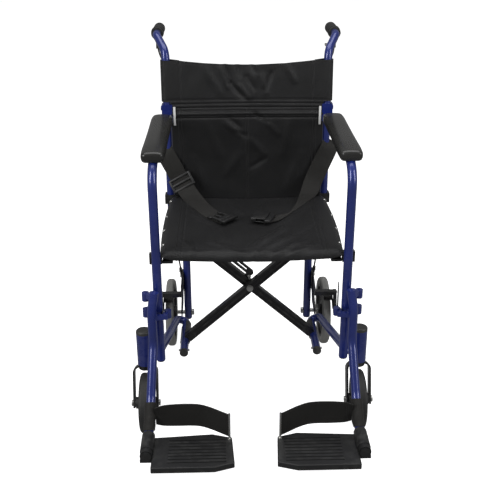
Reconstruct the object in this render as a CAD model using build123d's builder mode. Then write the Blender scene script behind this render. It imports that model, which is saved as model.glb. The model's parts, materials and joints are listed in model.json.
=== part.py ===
"""Folding transport wheelchair: a steel-tube chair pushed by an attendant, on four small wheels.

Units are millimetres. The chair faces -Y, +Z is up, and the origin is on the floor at the centre
of the outline. "right" and "left" are the seated person's own sides, so right is at -X.
"""

from build123d import *
import math
import os

os.makedirs("parts", exist_ok=True)

SIDES = {"right": -1, "left": 1}

# ---- Driving dimensions -------------------------------------------------------------------
# Tube
TUBE_R = 11.1
TUBE_WALL = 1.5
TUBE_BORE = TUBE_R - TUBE_WALL

# Clearances
SPIN = 0.06          # radial clearance of a shaft that turns in a hole
SEAT_GAP = 0.02      # radial clearance of a fixed pin or sleeve
TOUCH = 0.3          # gap between pieces that rest on each other

# Side frame, from the middle plane outwards
UPRIGHT_X = 229.0
UPRIGHT_Y = -170.0
UPRIGHT_FOOT_Z = 193.0
ARM_Z = 698.0
ARM_BEND = 55.0
POST_TOP_X = 218.0
POST_TOP_Y = 253.0
POST_X = 180.0
POST_Y = 248.0
POST_FOOT_Z = 84.0
POST_JOG_LOW_Z = 300.0
POST_JOG_HIGH_Z = 410.0
POST_BEND = 60.0
RAIL_X = 180.0
RAIL_Z = 130.0
RAIL_FRONT_Y = -32.0
HAIRPIN_X = 206.0
HAIRPIN_Y = 138.0
HAIRPIN_Z = 138.0
HAIRPIN_BEND = 12.9
STRUT_FOOT_Z = 222.0

# Cross brace
CROSS_Y = 43.0       # plane between the two arms
CROSS_WIDTH = 24.0
CROSS_DEPTH = 18.0
CROSS_GAP = 1.0
CROSS_GROOVE = 2.0
FOOT_WALL = 3.4
FOOT_BACK_Y = 118.0
SEAT_RAIL_X = 201.0
SEAT_RAIL_Z = 470.0
SEAT_RAIL_FRONT_Y = -150.0
SEAT_RAIL_BACK_Y = 236.0
CENTRE_BOLT_R = 5.0
CENTRE_HEAD_R = 7.5  # across the corners
CENTRE_WASHER_R = 9.0
STAY_OFFSET = 28.0   # stay above the rear arm's middle line
STAY_WIDTH = 16.0
STAY_LENGTH = 178.0
STAY_START = 22.0    # from the cross pivot along the arm

# Seat saddles
SADDLE_LOW_Z = SEAT_RAIL_Z - 15
SADDLE_HIGH_Z = SEAT_RAIL_Z + 11
SADDLE_OUTER = 5.0   # wall outside the tube
SADDLE_INNER = 2.7   # wall between the tube and the seat
SADDLE_BACK = 4.0
CRADLE_LOW_Z = SEAT_RAIL_Z - 17.5
CRADLE_LENGTH = 24.0
CRADLE_INNER_X = SEAT_RAIL_X - TUBE_R

# Rear wheel
REAR_R = 101.5
REAR_WIDTH = 25.0
REAR_X = 230.0
REAR_AXLE_R = 6.0

# Caster
CASTER_R = 76.0
CASTER_WIDTH = 26.0
CASTER_X = 271.0
CASTER_Y = -155.0
CASTER_TRAIL = 33.0
CASTER_AXLE_R = 5.0
HOUSING_R = 19.0
HOUSING_LOW_Z = 173.0
HOUSING_HIGH_Z = 261.0
STEM_R = 8.0
FORK_HALF = 29.0
FORK_STRAP = 5.0
FORK_STRAP_WIDTH = 26.0

# Folding back
HINGE_Z = 728.0
HINGE_PLATE = 3.0
HINGE_PIN_R = 3.0
CANE_TOP_Y = 267.0
CANE_TOP_Z = 878.0
HANDLE_X = 244.0
HANDLE_Y = 322.0
HANDLE_Z = 912.0
HANDLE_END_Y = 447.0
GRIP_R = 16.0
GRIP_LENGTH = 86.0
GRIP_END_WALL = 6.0
GRIP_HOUSING_LENGTH = 18.0

# Hanger and footplate
HANGER_X = 243.0
HANGER_Y = -204.0
HANGER_TOP_X = 235.0
HANGER_TOP_Y = -199.0
HANGER_TOP_Z = 395.0
HANGER_LEAN_Z = 345.0
HANGER_CAP = 2.0
HANGER_SHIN_Z = 262.0
HANGER_KNEE_X = 248.5
HANGER_KNEE_Y = -270.0
HANGER_KNEE_Z = 149.0
HANGER_PIVOT_X = 257.0
HANGER_PIVOT_Y = -186.0
HANGER_PIN_R = 4.0
EAR_R = 9.0
EAR_HEIGHT = 8.0
EAR_LEVELS = (333.0, 376.0)
FOOT_TUBE_X = 252.0
FOOT_TUBE_Z = 84.0
FOOT_TUBE_BACK_Y = -323.0
FOOT_TUBE_FRONT_Y = -404.0
PLATE_INNER_X = 49.0
PLATE_OUTER_X = 240.0
PLATE_BACK_Y = -324.0
PLATE_FRONT_Y = -447.0
PLATE_THICK = 14.0
PLATE_TOP_Z = 77.0
PLATE_CORNER_X = 46.0
PLATE_CORNER_Y = 15.0
PLATE_SKEW = 10.0    # the outer end of the back edge is this much further forward
GROOVE_COUNT = 8
GROOVE_PITCH = 11.5
GROOVE_WIDTH = 4.0
GROOVE_DEPTH = 1.5
GROOVE_OUTER_X = 203.0
FLANGE_OUT = 15.0    # flange under the barrel, beyond the tube's middle
HEEL_POST_R = 2.5
HEEL_POST_IN = 11.0  # post from the plate's inner edge
HEEL_POST_BACK = 21.0
HEEL_POST_HIGH = 72.0
HEEL_STRAP_HEIGHT = 62.0
HEEL_STRAP_THICK = 3.0

# Brake on the rear wheel
SHOE_ANGLE = 130.0
SHOE_STANDOFF = 9.5  # middle of the shoe off the tyre's face
BRAKE_ARM_LENGTH = 34.0
BRAKE_BAR_Y = 160.0
BRAKE_BAR_Z = REAR_R + 104.5
BRAKE_BAR_HALF_Y = 8.0
BRAKE_BAR_HALF_Z = 6.0
BRAKE_PLATE = 4.0
BRAKE_BLOCK = 8.0
BRAKE_BLOCK_GAP = 4.5
BRAKE_BOLT_ZS = (188.0, 224.0)
BRAKE_BOLT_R = 3.0

# Arm pad
PAD_WIDTH = 58.0
PAD_FRONT_Y = -154.0
PAD_BACK_Y = 206.0
PAD_TOP_Z = 728.0
PAD_LOW_Z = 698.0

# Upholstery
CLOTH = 3.0
SLING_FRONT_Y = -170.0
SLING_BACK_Y = 205.0
SLING_DROP = 14.0
SEAT_SCREW_YS = (-119.0, -27.0, 66.0, 184.0)
SEAT_SCREW_R = 5.0
SEAT_SCREW_HIGH = 2.2
BACK_LOW_Z = 462.0
BACK_SPLIT_Z = 726.0
BACK_SLEEVE_LOW_Z = 752.0
BACK_TOP_Z = 856.0
BELT_WIDTH = 50.0
BELT_THICK = 2.4
BELT_DROP_Y = 216.0  # plane of the belts where they hang in front of the back
BELT_TOP_Z = 640.0
BUCKLE_THICK = 13.0
BUCKLE_LENGTH = 58.0

# ---- Values worked out from the driving dimensions ------------------------------------------
ARM_RISE = math.degrees(math.atan2(SEAT_RAIL_Z - RAIL_Z, SEAT_RAIL_X + RAIL_X))
ARM_LENGTH = math.hypot(SEAT_RAIL_Z - RAIL_Z, SEAT_RAIL_X + RAIL_X)
CENTRE_Z = RAIL_Z + RAIL_X * math.tan(math.radians(ARM_RISE))
CASTER_AXLE_Y = CASTER_Y - CASTER_TRAIL
CROWN_Z = HOUSING_LOW_Z - TOUCH
PLATE_LOW_Z = PLATE_TOP_Z - PLATE_THICK
CANE_LEAN = (CANE_TOP_Y - POST_TOP_Y) / (CANE_TOP_Z - HINGE_Z)


# ---- Helpers --------------------------------------------------------------------------------
def add_tube(points, bends, radius, mode=Mode.ADD):
    """Adds a round bar along straight runs joined by tangent arcs."""
    with BuildLine() as centre_line:
        FilletPolyline(*points, radius=bends)
    with BuildSketch(Plane(origin=centre_line.line @ 0, z_dir=centre_line.line % 0)) as section:
        Circle(radius)
    sweep(sections=section.sketch, path=centre_line.line, mode=mode)


def add_bar(start, end, radius, mode=Mode.ADD):
    """Adds a straight round bar from one point to another."""
    run = Vector(*end) - Vector(*start)
    with BuildSketch(Plane(origin=start, z_dir=run)) as section:
        Circle(radius)
    extrude(section.sketch, amount=run.length, mode=mode)


def add_block(low, high, mode=Mode.ADD):
    """Adds a square block between two opposite corners, given in any order."""
    centre = tuple((a + b) / 2 for a, b in zip(low, high))
    size = [abs(b - a) for a, b in zip(low, high)]
    with Locations(centre):
        Box(*size, mode=mode)


def add_plate_yz(outline, x_low, x_high, mode=Mode.ADD):
    """Adds a flat plate that stands in the YZ plane, from its (y, z) corners."""
    with BuildSketch(Plane.YZ.offset(min(x_low, x_high))) as section:
        with BuildLine():
            Polyline(*outline, close=True)
        make_face()
    extrude(section.sketch, amount=abs(x_high - x_low), mode=mode)


def add_plate_xy(outline, z_low, z_high, mode=Mode.ADD):
    """Adds a flat plate that lies in the XY plane, from its (x, y) corners."""
    with BuildSketch(Plane.XY.offset(z_low)) as section:
        with BuildLine():
            Polyline(*outline, close=True)
        make_face()
    extrude(section.sketch, amount=z_high - z_low, mode=mode)


def upright_run(side):
    """Front upright, bend and arm tube in one run, ending inside the rear post."""
    return [
        (side * UPRIGHT_X, UPRIGHT_Y, UPRIGHT_FOOT_Z),
        (side * UPRIGHT_X, UPRIGHT_Y, ARM_Z),
        (side * POST_TOP_X, POST_TOP_Y, ARM_Z),
    ]


def post_run(side):
    """Rear post, from its foot by the axle, out round the wheel and up to the back hinge."""
    return [
        (side * POST_X, POST_Y, POST_FOOT_Z),
        (side * POST_X, POST_Y, POST_JOG_LOW_Z),
        (side * POST_TOP_X, POST_TOP_Y, POST_JOG_HIGH_Z),
        (side * POST_TOP_X, POST_TOP_Y, ARM_Z + TUBE_R),
    ]


def hairpin_run(side):
    """Lower strut and rail: one tube that turns back on itself in front of the rear wheel."""
    return [
        (side * UPRIGHT_X, UPRIGHT_Y, STRUT_FOOT_Z),
        (side * HAIRPIN_X, HAIRPIN_Y, HAIRPIN_Z),
        (side * RAIL_X, HAIRPIN_Y, RAIL_Z),
        (side * RAIL_X, RAIL_FRONT_Y, RAIL_Z),
    ]


def cane_run(side):
    """Back cane, from the fold hinge up, then out and back into the push handle."""
    return [
        (side * POST_TOP_X, POST_TOP_Y, HINGE_Z),
        (side * POST_TOP_X, CANE_TOP_Y, CANE_TOP_Z),
        (side * HANDLE_X, HANDLE_Y, HANDLE_Z),
        (side * HANDLE_X, HANDLE_END_Y - GRIP_END_WALL, HANDLE_Z),
    ]


def hanger_run(side):
    """Swing-away front hanger, from beside the upright down to the footplate's pivot tube."""
    return [
        (side * HANGER_TOP_X, HANGER_TOP_Y, HANGER_TOP_Z),
        (side * HANGER_X, HANGER_Y, HANGER_LEAN_Z),
        (side * HANGER_X, HANGER_Y, HANGER_SHIN_Z),
        (side * HANGER_KNEE_X, HANGER_KNEE_Y, HANGER_KNEE_Z),
        (side * FOOT_TUBE_X, FOOT_TUBE_BACK_Y, FOOT_TUBE_Z),
        (side * FOOT_TUBE_X, FOOT_TUBE_FRONT_Y, FOOT_TUBE_Z),
    ]


POST_BENDS = [POST_BEND, POST_BEND]
HAIRPIN_BENDS = [HAIRPIN_BEND, HAIRPIN_BEND]
CANE_BENDS = [40.0, 30.0]
HANGER_BENDS = [60.0, 60.0, 60.0, 24.0]


def cross_arm(side, y_low):
    """One arm of the cross brace: from the lower rail on the given side up to the far seat rail."""
    lean = ARM_RISE if side < 0 else 180 - ARM_RISE
    mid_x = -side * (SEAT_RAIL_X - RAIL_X) / 2
    mid_z = (RAIL_Z + SEAT_RAIL_Z) / 2
    bar_length = ARM_LENGTH - TUBE_R * 2
    top_ring = TUBE_R + FOOT_WALL
    with BuildSketch(Plane.XZ.offset(-y_low)) as section:
        with Locations(Location((mid_x, mid_z), lean)):
            Rectangle(bar_length, CROSS_WIDTH)
    extrude(section.sketch, amount=-CROSS_DEPTH)
    for face_y in (y_low, y_low + CROSS_DEPTH - CROSS_GROOVE):
        with BuildSketch(Plane.XZ.offset(-face_y)) as groove:
            with Locations(Location((mid_x, mid_z), lean)):
                with GridLocations(0, CROSS_WIDTH / 2.6, 1, 2):
                    SlotOverall(bar_length - 60, CROSS_WIDTH / 5)
        extrude(groove.sketch, amount=-CROSS_GROOVE, mode=Mode.SUBTRACT)
    # Foot that hooks round the lower rail, open on its outer upper side
    add_bar((side * RAIL_X, y_low, RAIL_Z), (side * RAIL_X, FOOT_BACK_Y, RAIL_Z), TUBE_R + FOOT_WALL)
    # Ring round the seat rail
    add_bar((-side * SEAT_RAIL_X, y_low, SEAT_RAIL_Z),
            (-side * SEAT_RAIL_X, y_low + CROSS_DEPTH, SEAT_RAIL_Z), top_ring)
    add_bar((side * RAIL_X, y_low - 1, RAIL_Z), (side * RAIL_X, FOOT_BACK_Y + 1, RAIL_Z),
            TUBE_R + SPIN, Mode.SUBTRACT)
    add_bar((-side * SEAT_RAIL_X, y_low - 1, SEAT_RAIL_Z),
            (-side * SEAT_RAIL_X, y_low + CROSS_DEPTH + 1, SEAT_RAIL_Z),
            TUBE_R + SEAT_GAP, Mode.SUBTRACT)
    # The ring is a saddle under the rail, so the sling can wrap the rail's top
    add_block((-side * (SEAT_RAIL_X - 2 * TUBE_R), y_low - 1, SEAT_RAIL_Z - SLING_DROP / 4),
              (-side * (SEAT_RAIL_X + 2 * TUBE_R), y_low + CROSS_DEPTH + 1, SEAT_RAIL_Z + 2 * TUBE_R),
              Mode.SUBTRACT)
    cut_foot_mouth(side, y_low)


def cut_foot_mouth(side, y_low):
    """Opens the foot on its outer upper side, so that it hooks round the rail."""
    reach = TUBE_R * 2
    mouth = [
        (side * (RAIL_X + 2), RAIL_Z - TUBE_R / 2),
        (side * (RAIL_X + reach), RAIL_Z - TUBE_R / 2),
        (side * (RAIL_X + reach), RAIL_Z + reach),
        (side * (RAIL_X - 1), RAIL_Z + reach),
    ]
    with BuildSketch(Plane.XZ.offset(-(y_low - 1))) as section:
        with BuildLine():
            Polyline(*mouth, close=True)
        make_face()
    extrude(section.sketch, amount=-(FOOT_BACK_Y - y_low + 2), mode=Mode.SUBTRACT)


def add_wheel_rim(centre, outer_r, width, hub_r, hub_width, bore_r, spokes):
    """A moulded wheel centre: hub, web with lightening holes and an outer band."""
    x, y, z = centre
    band = 7.0
    web = width * 0.4
    with BuildSketch(Plane.XZ.offset(-y)) as half:
        with Locations((x, z + outer_r - band / 2)):
            Rectangle(width - 4, band)
        with Locations((x, z + outer_r / 2)):
            Rectangle(web, outer_r - 2)
        with Locations((x, z + (hub_r + bore_r) / 2)):
            Rectangle(hub_width, hub_r - bore_r)
        with Locations((x, z + bore_r / 2)):
            Rectangle(hub_width + 2, bore_r, mode=Mode.SUBTRACT)
    revolve(half.sketch, axis=Axis((x, y, z), (1, 0, 0)))
    window_mid = (outer_r - band + hub_r) / 2
    window_r = min((outer_r - band - hub_r) / 2, window_mid * math.sin(math.pi / spokes)) - 3
    with BuildSketch(Plane.YZ.offset(x - hub_width)) as windows:
        with Locations((y, z)):
            with PolarLocations(window_mid, spokes):
                Circle(window_r)
    extrude(windows.sketch, amount=2 * hub_width, mode=Mode.SUBTRACT)


def add_tyre(centre, outer_r, inner_r, width):
    """A solid tyre with rounded shoulders, seated on its rim."""
    x, y, z = centre
    with BuildSketch(Plane.XZ.offset(-y)) as half:
        with Locations((x, z + (outer_r + inner_r) / 2)):
            RectangleRounded(width, outer_r - inner_r, min(width, outer_r - inner_r) * 0.44)
        with Locations((x, z + inner_r + 2)):
            Rectangle(width - 4, 4)
    revolve(half.sketch, axis=Axis((x, y, z), (1, 0, 0)))


def draw_left_side_frame():
    """Side frame: one welded frame of bent tube with the caster housing and the hanger ears."""
    side = SIDES["left"]
    upright_x = side * UPRIGHT_X
    housing = (side * CASTER_X, CASTER_Y)
    pivot = (side * HANGER_PIVOT_X, HANGER_PIVOT_Y)
    add_tube(upright_run(side), [ARM_BEND], TUBE_R)
    add_tube(post_run(side), POST_BENDS, TUBE_R)
    add_tube(hairpin_run(side), HAIRPIN_BENDS, TUBE_R)
    add_bar((*housing, HOUSING_LOW_Z), (*housing, HOUSING_HIGH_Z), HOUSING_R)
    for level in (UPRIGHT_FOOT_Z + TUBE_R + 2, HOUSING_HIGH_Z - 14):
        add_bar((upright_x, UPRIGHT_Y, level), (*housing, level), TUBE_R - 2)
    for level in EAR_LEVELS:
        ear_low = level - EAR_HEIGHT
        reach = Vector(upright_x - pivot[0], UPRIGHT_Y - pivot[1])
        across = Vector(-reach.Y, reach.X).normalized() * (EAR_R - 1)
        add_bar((*pivot, ear_low), (*pivot, level), EAR_R)
        add_bar((*pivot, level - 1), (*pivot, level + 15), HANGER_PIN_R)
        add_plate_xy(
            [
                (pivot[0] + across.X, pivot[1] + across.Y),
                (pivot[0] - across.X, pivot[1] - across.Y),
                (upright_x - across.X, UPRIGHT_Y - across.Y),
                (upright_x + across.X, UPRIGHT_Y + across.Y),
            ],
            ear_low, level)
    add_tube(upright_run(side), [ARM_BEND], TUBE_BORE, Mode.SUBTRACT)
    add_tube(post_run(side)[:-1] + [(side * POST_TOP_X, POST_TOP_Y, ARM_Z)],
             POST_BENDS, TUBE_BORE, Mode.SUBTRACT)
    add_tube(hairpin_run(side), HAIRPIN_BENDS, TUBE_BORE, Mode.SUBTRACT)
    add_bar((*housing, HOUSING_LOW_Z - 1), (*housing, HOUSING_HIGH_Z + 1),
            STEM_R + SPIN, Mode.SUBTRACT)
    add_bar((side * (POST_X - 20), POST_Y, REAR_R), (side * (POST_X + 20), POST_Y, REAR_R),
            REAR_AXLE_R + SEAT_GAP, Mode.SUBTRACT)


# ---- Pieces that come in a right and a left --------------------------------------------------
for name, side in SIDES.items():
    upright_x = side * UPRIGHT_X
    housing = (side * CASTER_X, CASTER_Y)
    pivot = (side * HANGER_PIVOT_X, HANGER_PIVOT_Y)

    # Side frame, drawn on the left and mirrored to the right
    with BuildPart() as side_frame:
        draw_left_side_frame()
        if side < 0:
            mirror(about=Plane.YZ, mode=Mode.REPLACE)
    side_frame.part.label = f"{name}_side_frame"
    export_step(side_frame.part, f"parts/{name}_side_frame.step")

    # Plastic plugs: lower rail nose, upright foot, post foot and caster housing cap
    with BuildPart() as end_plugs:
        nose_y = RAIL_FRONT_Y
        add_bar((side * RAIL_X, nose_y - 7, RAIL_Z), (side * RAIL_X, nose_y - TOUCH / 10, RAIL_Z),
                TUBE_R + 0.4)
        add_bar((side * RAIL_X, nose_y - 1, RAIL_Z), (side * RAIL_X, nose_y + 12, RAIL_Z),
                TUBE_BORE - SEAT_GAP)
        add_bar((upright_x, UPRIGHT_Y, UPRIGHT_FOOT_Z - 3), (upright_x, UPRIGHT_Y, UPRIGHT_FOOT_Z + 10),
                TUBE_BORE - SEAT_GAP)
        add_bar((side * POST_X, POST_Y, POST_FOOT_Z - 3), (side * POST_X, POST_Y, POST_FOOT_Z + 8),
                TUBE_BORE - SEAT_GAP)
        add_bar((*housing, HOUSING_HIGH_Z + 0.03), (*housing, HOUSING_HIGH_Z + 9), HOUSING_R)
        cap_top = end_plugs.edges().filter_by(GeomType.CIRCLE).sort_by(Axis.Z)[-1]
        fillet(cap_top, 5)
    end_plugs.part.label = f"{name}_end_plugs"
    export_step(end_plugs.part, f"parts/{name}_end_plugs.step")

    # Arm pad: moulded pad with a rounded nose, grooved underneath for the arm tube
    pad_front_x = UPRIGHT_X - 1
    with BuildPart() as arm_pad:
        with BuildSketch(Plane.XY.offset(PAD_LOW_Z)) as outline:
            with Locations((side * pad_front_x, (PAD_FRONT_Y + PAD_BACK_Y) / 2)):
                RectangleRounded(PAD_WIDTH, PAD_BACK_Y - PAD_FRONT_Y, 22)
        extrude(outline.sketch, amount=PAD_TOP_Z - PAD_LOW_Z)
        fillet(arm_pad.faces().sort_by(Axis.Z)[-1].edges(), 12)
        fillet(arm_pad.faces().sort_by(Axis.Z)[0].edges(), 4)
        add_tube(upright_run(side), [ARM_BEND], TUBE_R + SEAT_GAP, Mode.SUBTRACT)
    arm_pad.part.label = f"{name}_arm_pad"
    export_step(arm_pad.part, f"parts/{name}_arm_pad.step")

    # Seat saddles: a clip round the upright and one round the post, each with a flat cradle
    with BuildPart() as seat_saddles:
        for clip_y, clip_x, open_front in ((UPRIGHT_Y, UPRIGHT_X, True), (POST_TOP_Y, POST_TOP_X, False)):
            reach = TUBE_R + SADDLE_BACK
            inner_x = clip_x - TUBE_R - SADDLE_INNER
            front = clip_y if open_front else clip_y - reach
            add_block((side * (clip_x + TUBE_R + SADDLE_OUTER), front, SADDLE_LOW_Z),
                      (side * inner_x, clip_y + reach, SADDLE_HIGH_Z))
            add_bar((side * clip_x, clip_y, SADDLE_LOW_Z - 1), (side * clip_x, clip_y, SADDLE_HIGH_Z + 1),
                    TUBE_R + SEAT_GAP, Mode.SUBTRACT)
            if open_front:
                cradle_near = clip_y + reach - CRADLE_LENGTH / 4
                cradle_far = cradle_near + CRADLE_LENGTH
            else:
                cradle_near = clip_y
                cradle_far = cradle_near - CRADLE_LENGTH * 1.2
            add_block((side * (inner_x - SEAT_GAP), cradle_near, CRADLE_LOW_Z),
                      (side * CRADLE_INNER_X, cradle_far, SEAT_RAIL_Z - TUBE_R - TOUCH))
    seat_saddles.part.label = f"{name}_seat_saddles"
    export_step(seat_saddles.part, f"parts/{name}_seat_saddles.step")

    # Back hinge: a channel closed in front, clasping the post top, with the fold pin
    cheek_in = TUBE_R + TOUCH
    cheek_out = cheek_in + HINGE_PLATE
    post_x = side * POST_TOP_X
    with BuildPart() as back_hinge:
        add_block((post_x - cheek_out, POST_TOP_Y - cheek_out, HINGE_Z - 36),
                  (post_x + cheek_out, POST_TOP_Y + TUBE_R, HINGE_Z + 12))
        add_block((post_x - cheek_in, POST_TOP_Y - cheek_in, HINGE_Z - 37),
                  (post_x + cheek_in, POST_TOP_Y + TUBE_R + 1, HINGE_Z + 13), Mode.SUBTRACT)
        add_tube(upright_run(side), [ARM_BEND], TUBE_R + SEAT_GAP, Mode.SUBTRACT)
        add_bar((post_x - cheek_out - 2, POST_TOP_Y, HINGE_Z),
                (post_x + cheek_out + 2, POST_TOP_Y, HINGE_Z), HINGE_PIN_R)
        for end in (-1, 1):
            add_bar((post_x + end * cheek_out, POST_TOP_Y, HINGE_Z),
                    (post_x + end * (cheek_out + 3), POST_TOP_Y, HINGE_Z), HINGE_PIN_R * 2)
    back_hinge.part.label = f"{name}_back_hinge"
    export_step(back_hinge.part, f"parts/{name}_back_hinge.step")

    # Back cane with its solid, pinned foot
    with BuildPart() as back_cane:
        add_tube(cane_run(side), CANE_BENDS, TUBE_R)
        lug_half = TUBE_R - TOUCH
        add_bar((post_x - lug_half, POST_TOP_Y, HINGE_Z), (post_x + lug_half, POST_TOP_Y, HINGE_Z), lug_half)
        add_tube([(post_x, POST_TOP_Y + 24 * CANE_LEAN, HINGE_Z + 24)] + cane_run(side)[1:],
                 CANE_BENDS, TUBE_BORE, Mode.SUBTRACT)
        add_bar((post_x - 20, POST_TOP_Y, HINGE_Z), (post_x + 20, POST_TOP_Y, HINGE_Z),
                HINGE_PIN_R + SPIN, Mode.SUBTRACT)
    back_cane.part.label = f"{name}_back_cane"
    export_step(back_cane.part, f"parts/{name}_back_cane.step")

    # Push grip: a moulded sleeve with a raised front rim and a closed end
    handle_x = side * HANDLE_X
    grip_front_y = HANDLE_END_Y - GRIP_LENGTH
    with BuildPart() as push_grip:
        add_bar((handle_x, grip_front_y, HANDLE_Z), (handle_x, HANDLE_END_Y, HANDLE_Z), GRIP_R)
        add_bar((handle_x, grip_front_y, HANDLE_Z), (handle_x, grip_front_y + 4, HANDLE_Z), GRIP_R + 2)
        add_bar((handle_x, grip_front_y - 1, HANDLE_Z),
                (handle_x, HANDLE_END_Y - GRIP_END_WALL + SEAT_GAP, HANDLE_Z),
                TUBE_R + SEAT_GAP, Mode.SUBTRACT)
    push_grip.part.label = f"{name}_push_grip"
    export_step(push_grip.part, f"parts/{name}_push_grip.step")

    # Hand brake housing: a clamp on the handle with the lever's pin on its inner side
    housing_back_y = grip_front_y - TOUCH
    housing_front_y = housing_back_y - GRIP_HOUSING_LENGTH
    lever_y = (housing_front_y + housing_back_y) / 2
    lever_z = HANDLE_Z - GRIP_R - 16
    lever_x = side * (HANDLE_X - 12)
    with BuildPart() as brake_housing:
        add_bar((handle_x, housing_front_y, HANDLE_Z), (handle_x, housing_back_y, HANDLE_Z), GRIP_R)
        add_block((side * (HANDLE_X - 8), housing_front_y, HANDLE_Z),
                  (side * (HANDLE_X + 4), housing_back_y, lever_z - 8))
        add_bar((handle_x, housing_front_y - 1, HANDLE_Z), (handle_x, housing_back_y + 1, HANDLE_Z),
                TUBE_R + SEAT_GAP, Mode.SUBTRACT)
        add_bar((side * (HANDLE_X - 7), lever_y, lever_z), (side * (HANDLE_X - 16), lever_y, lever_z), 3)
    brake_housing.part.label = f"{name}_brake_housing"
    export_step(brake_housing.part, f"parts/{name}_brake_housing.step")

    # Hand brake lever: an eye on the pin and a blade that runs back under the grip
    with BuildPart() as brake_lever:
        add_bar((side * (HANDLE_X - 8 - TOUCH), lever_y, lever_z),
                (side * (HANDLE_X - 15), lever_y, lever_z), 7)
        add_plate_yz(
            [
                (lever_y, lever_z - 6),
                (lever_y + 30, lever_z - 14),
                (HANDLE_END_Y - 6, lever_z - 18),
                (HANDLE_END_Y - 6, lever_z - 11),
                (lever_y + 32, lever_z - 6),
                (lever_y, lever_z + 6),
            ],
            side * (HANDLE_X - 8 - TOUCH), side * (HANDLE_X - 15))
        add_bar((side * (HANDLE_X - 5), lever_y, lever_z), (side * (HANDLE_X - 20), lever_y, lever_z),
                3 + SPIN, Mode.SUBTRACT)
    brake_lever.part.label = f"{name}_brake_lever"
    export_step(brake_lever.part, f"parts/{name}_brake_lever.step")

    # Brake cable: from the housing down behind the back and under the seat to the brake
    cable_route = [
        (side * (HANDLE_X - 2), housing_front_y - 0.95, lever_z),
        (side * (HANDLE_X - 4), housing_front_y - 40, lever_z - 16),
        (side * (POST_TOP_X - 22), POST_TOP_Y + 32, 800.0),
        (side * (POST_TOP_X - 22), POST_TOP_Y + 30, 470.0),
        (side * (POST_X + 34), POST_Y + 20, 330.0),
        (side * (POST_X + 18), POST_Y - 4, 251.7),
    ]
    with BuildPart() as brake_cable:
        add_tube(cable_route, [20, 40, 60, 50], 2.5)
    brake_cable.part.label = f"{name}_brake_cable"
    export_step(brake_cable.part, f"parts/{name}_brake_cable.step")

    # Brake bracket: bolted to the post, reaching over the tyre to an outer block
    brake_in = POST_X + TUBE_R + TOUCH
    block_in = REAR_X + REAR_WIDTH / 2 + BRAKE_BLOCK_GAP
    block_out = block_in + BRAKE_BLOCK
    shoe_angle = math.radians(SHOE_ANGLE)
    shoe_mid = REAR_R + SHOE_STANDOFF
    shoe_y = POST_Y + shoe_mid * math.cos(shoe_angle)
    shoe_z = REAR_R + shoe_mid * math.sin(shoe_angle)
    arm_pin_y = shoe_y - BRAKE_ARM_LENGTH * math.sin(shoe_angle)
    arm_pin_z = shoe_z + BRAKE_ARM_LENGTH * math.cos(shoe_angle)
    bar_front_y = BRAKE_BAR_Y - BRAKE_BAR_HALF_Y
    bar_top_z = BRAKE_BAR_Z + BRAKE_BAR_HALF_Z
    with BuildPart() as brake_bracket:
        add_plate_yz(
            [
                (POST_Y - 12, 240.0), (POST_Y + 12, 240.0), (POST_Y + 12, 176.0), (POST_Y - 12, 176.0),
                (POST_Y - 30, 150.0), (HAIRPIN_Y + TUBE_R + 2, HAIRPIN_Z + 2),
                (HAIRPIN_Y + TUBE_R + 2, HAIRPIN_Z + 22), (POST_Y - 40, 196.0),
                (bar_front_y, BRAKE_BAR_Z - BRAKE_BAR_HALF_Z), (bar_front_y, bar_top_z),
            ],
            side * brake_in, side * (brake_in + BRAKE_PLATE))
        add_block((side * brake_in, bar_front_y, BRAKE_BAR_Z - BRAKE_BAR_HALF_Z),
                  (side * block_out, BRAKE_BAR_Y + BRAKE_BAR_HALF_Y, bar_top_z))
        add_plate_yz(
            [
                (bar_front_y, bar_top_z), (BRAKE_BAR_Y + 10, bar_top_z), (arm_pin_y + 12, arm_pin_z - 4),
                (arm_pin_y + 6, arm_pin_z - 22), (arm_pin_y - 8, arm_pin_z - 22),
                (arm_pin_y - 12, arm_pin_z),
            ],
            side * block_in, side * block_out)
        # Cable stop on top of the plate
        add_bar((side * (POST_X + 18), POST_Y - 4, 238.0), (side * (POST_X + 18), POST_Y - 4, 251.0), 4.5)
        add_block((side * (brake_in + 0.5), POST_Y - 8, 232.0), (side * (POST_X + 20), POST_Y, 242.0))
        add_bar((side * (block_in - 1), arm_pin_y, arm_pin_z), (side * (block_out + 1), arm_pin_y, arm_pin_z),
                3 + SPIN, Mode.SUBTRACT)
        for bolt_z in BRAKE_BOLT_ZS:
            add_bar((side * (brake_in - 1), POST_Y, bolt_z), (side * (brake_in + 5), POST_Y, bolt_z),
                    BRAKE_BOLT_R + SEAT_GAP, Mode.SUBTRACT)
    brake_bracket.part.label = f"{name}_brake_bracket"
    export_step(brake_bracket.part, f"parts/{name}_brake_bracket.step")

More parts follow.
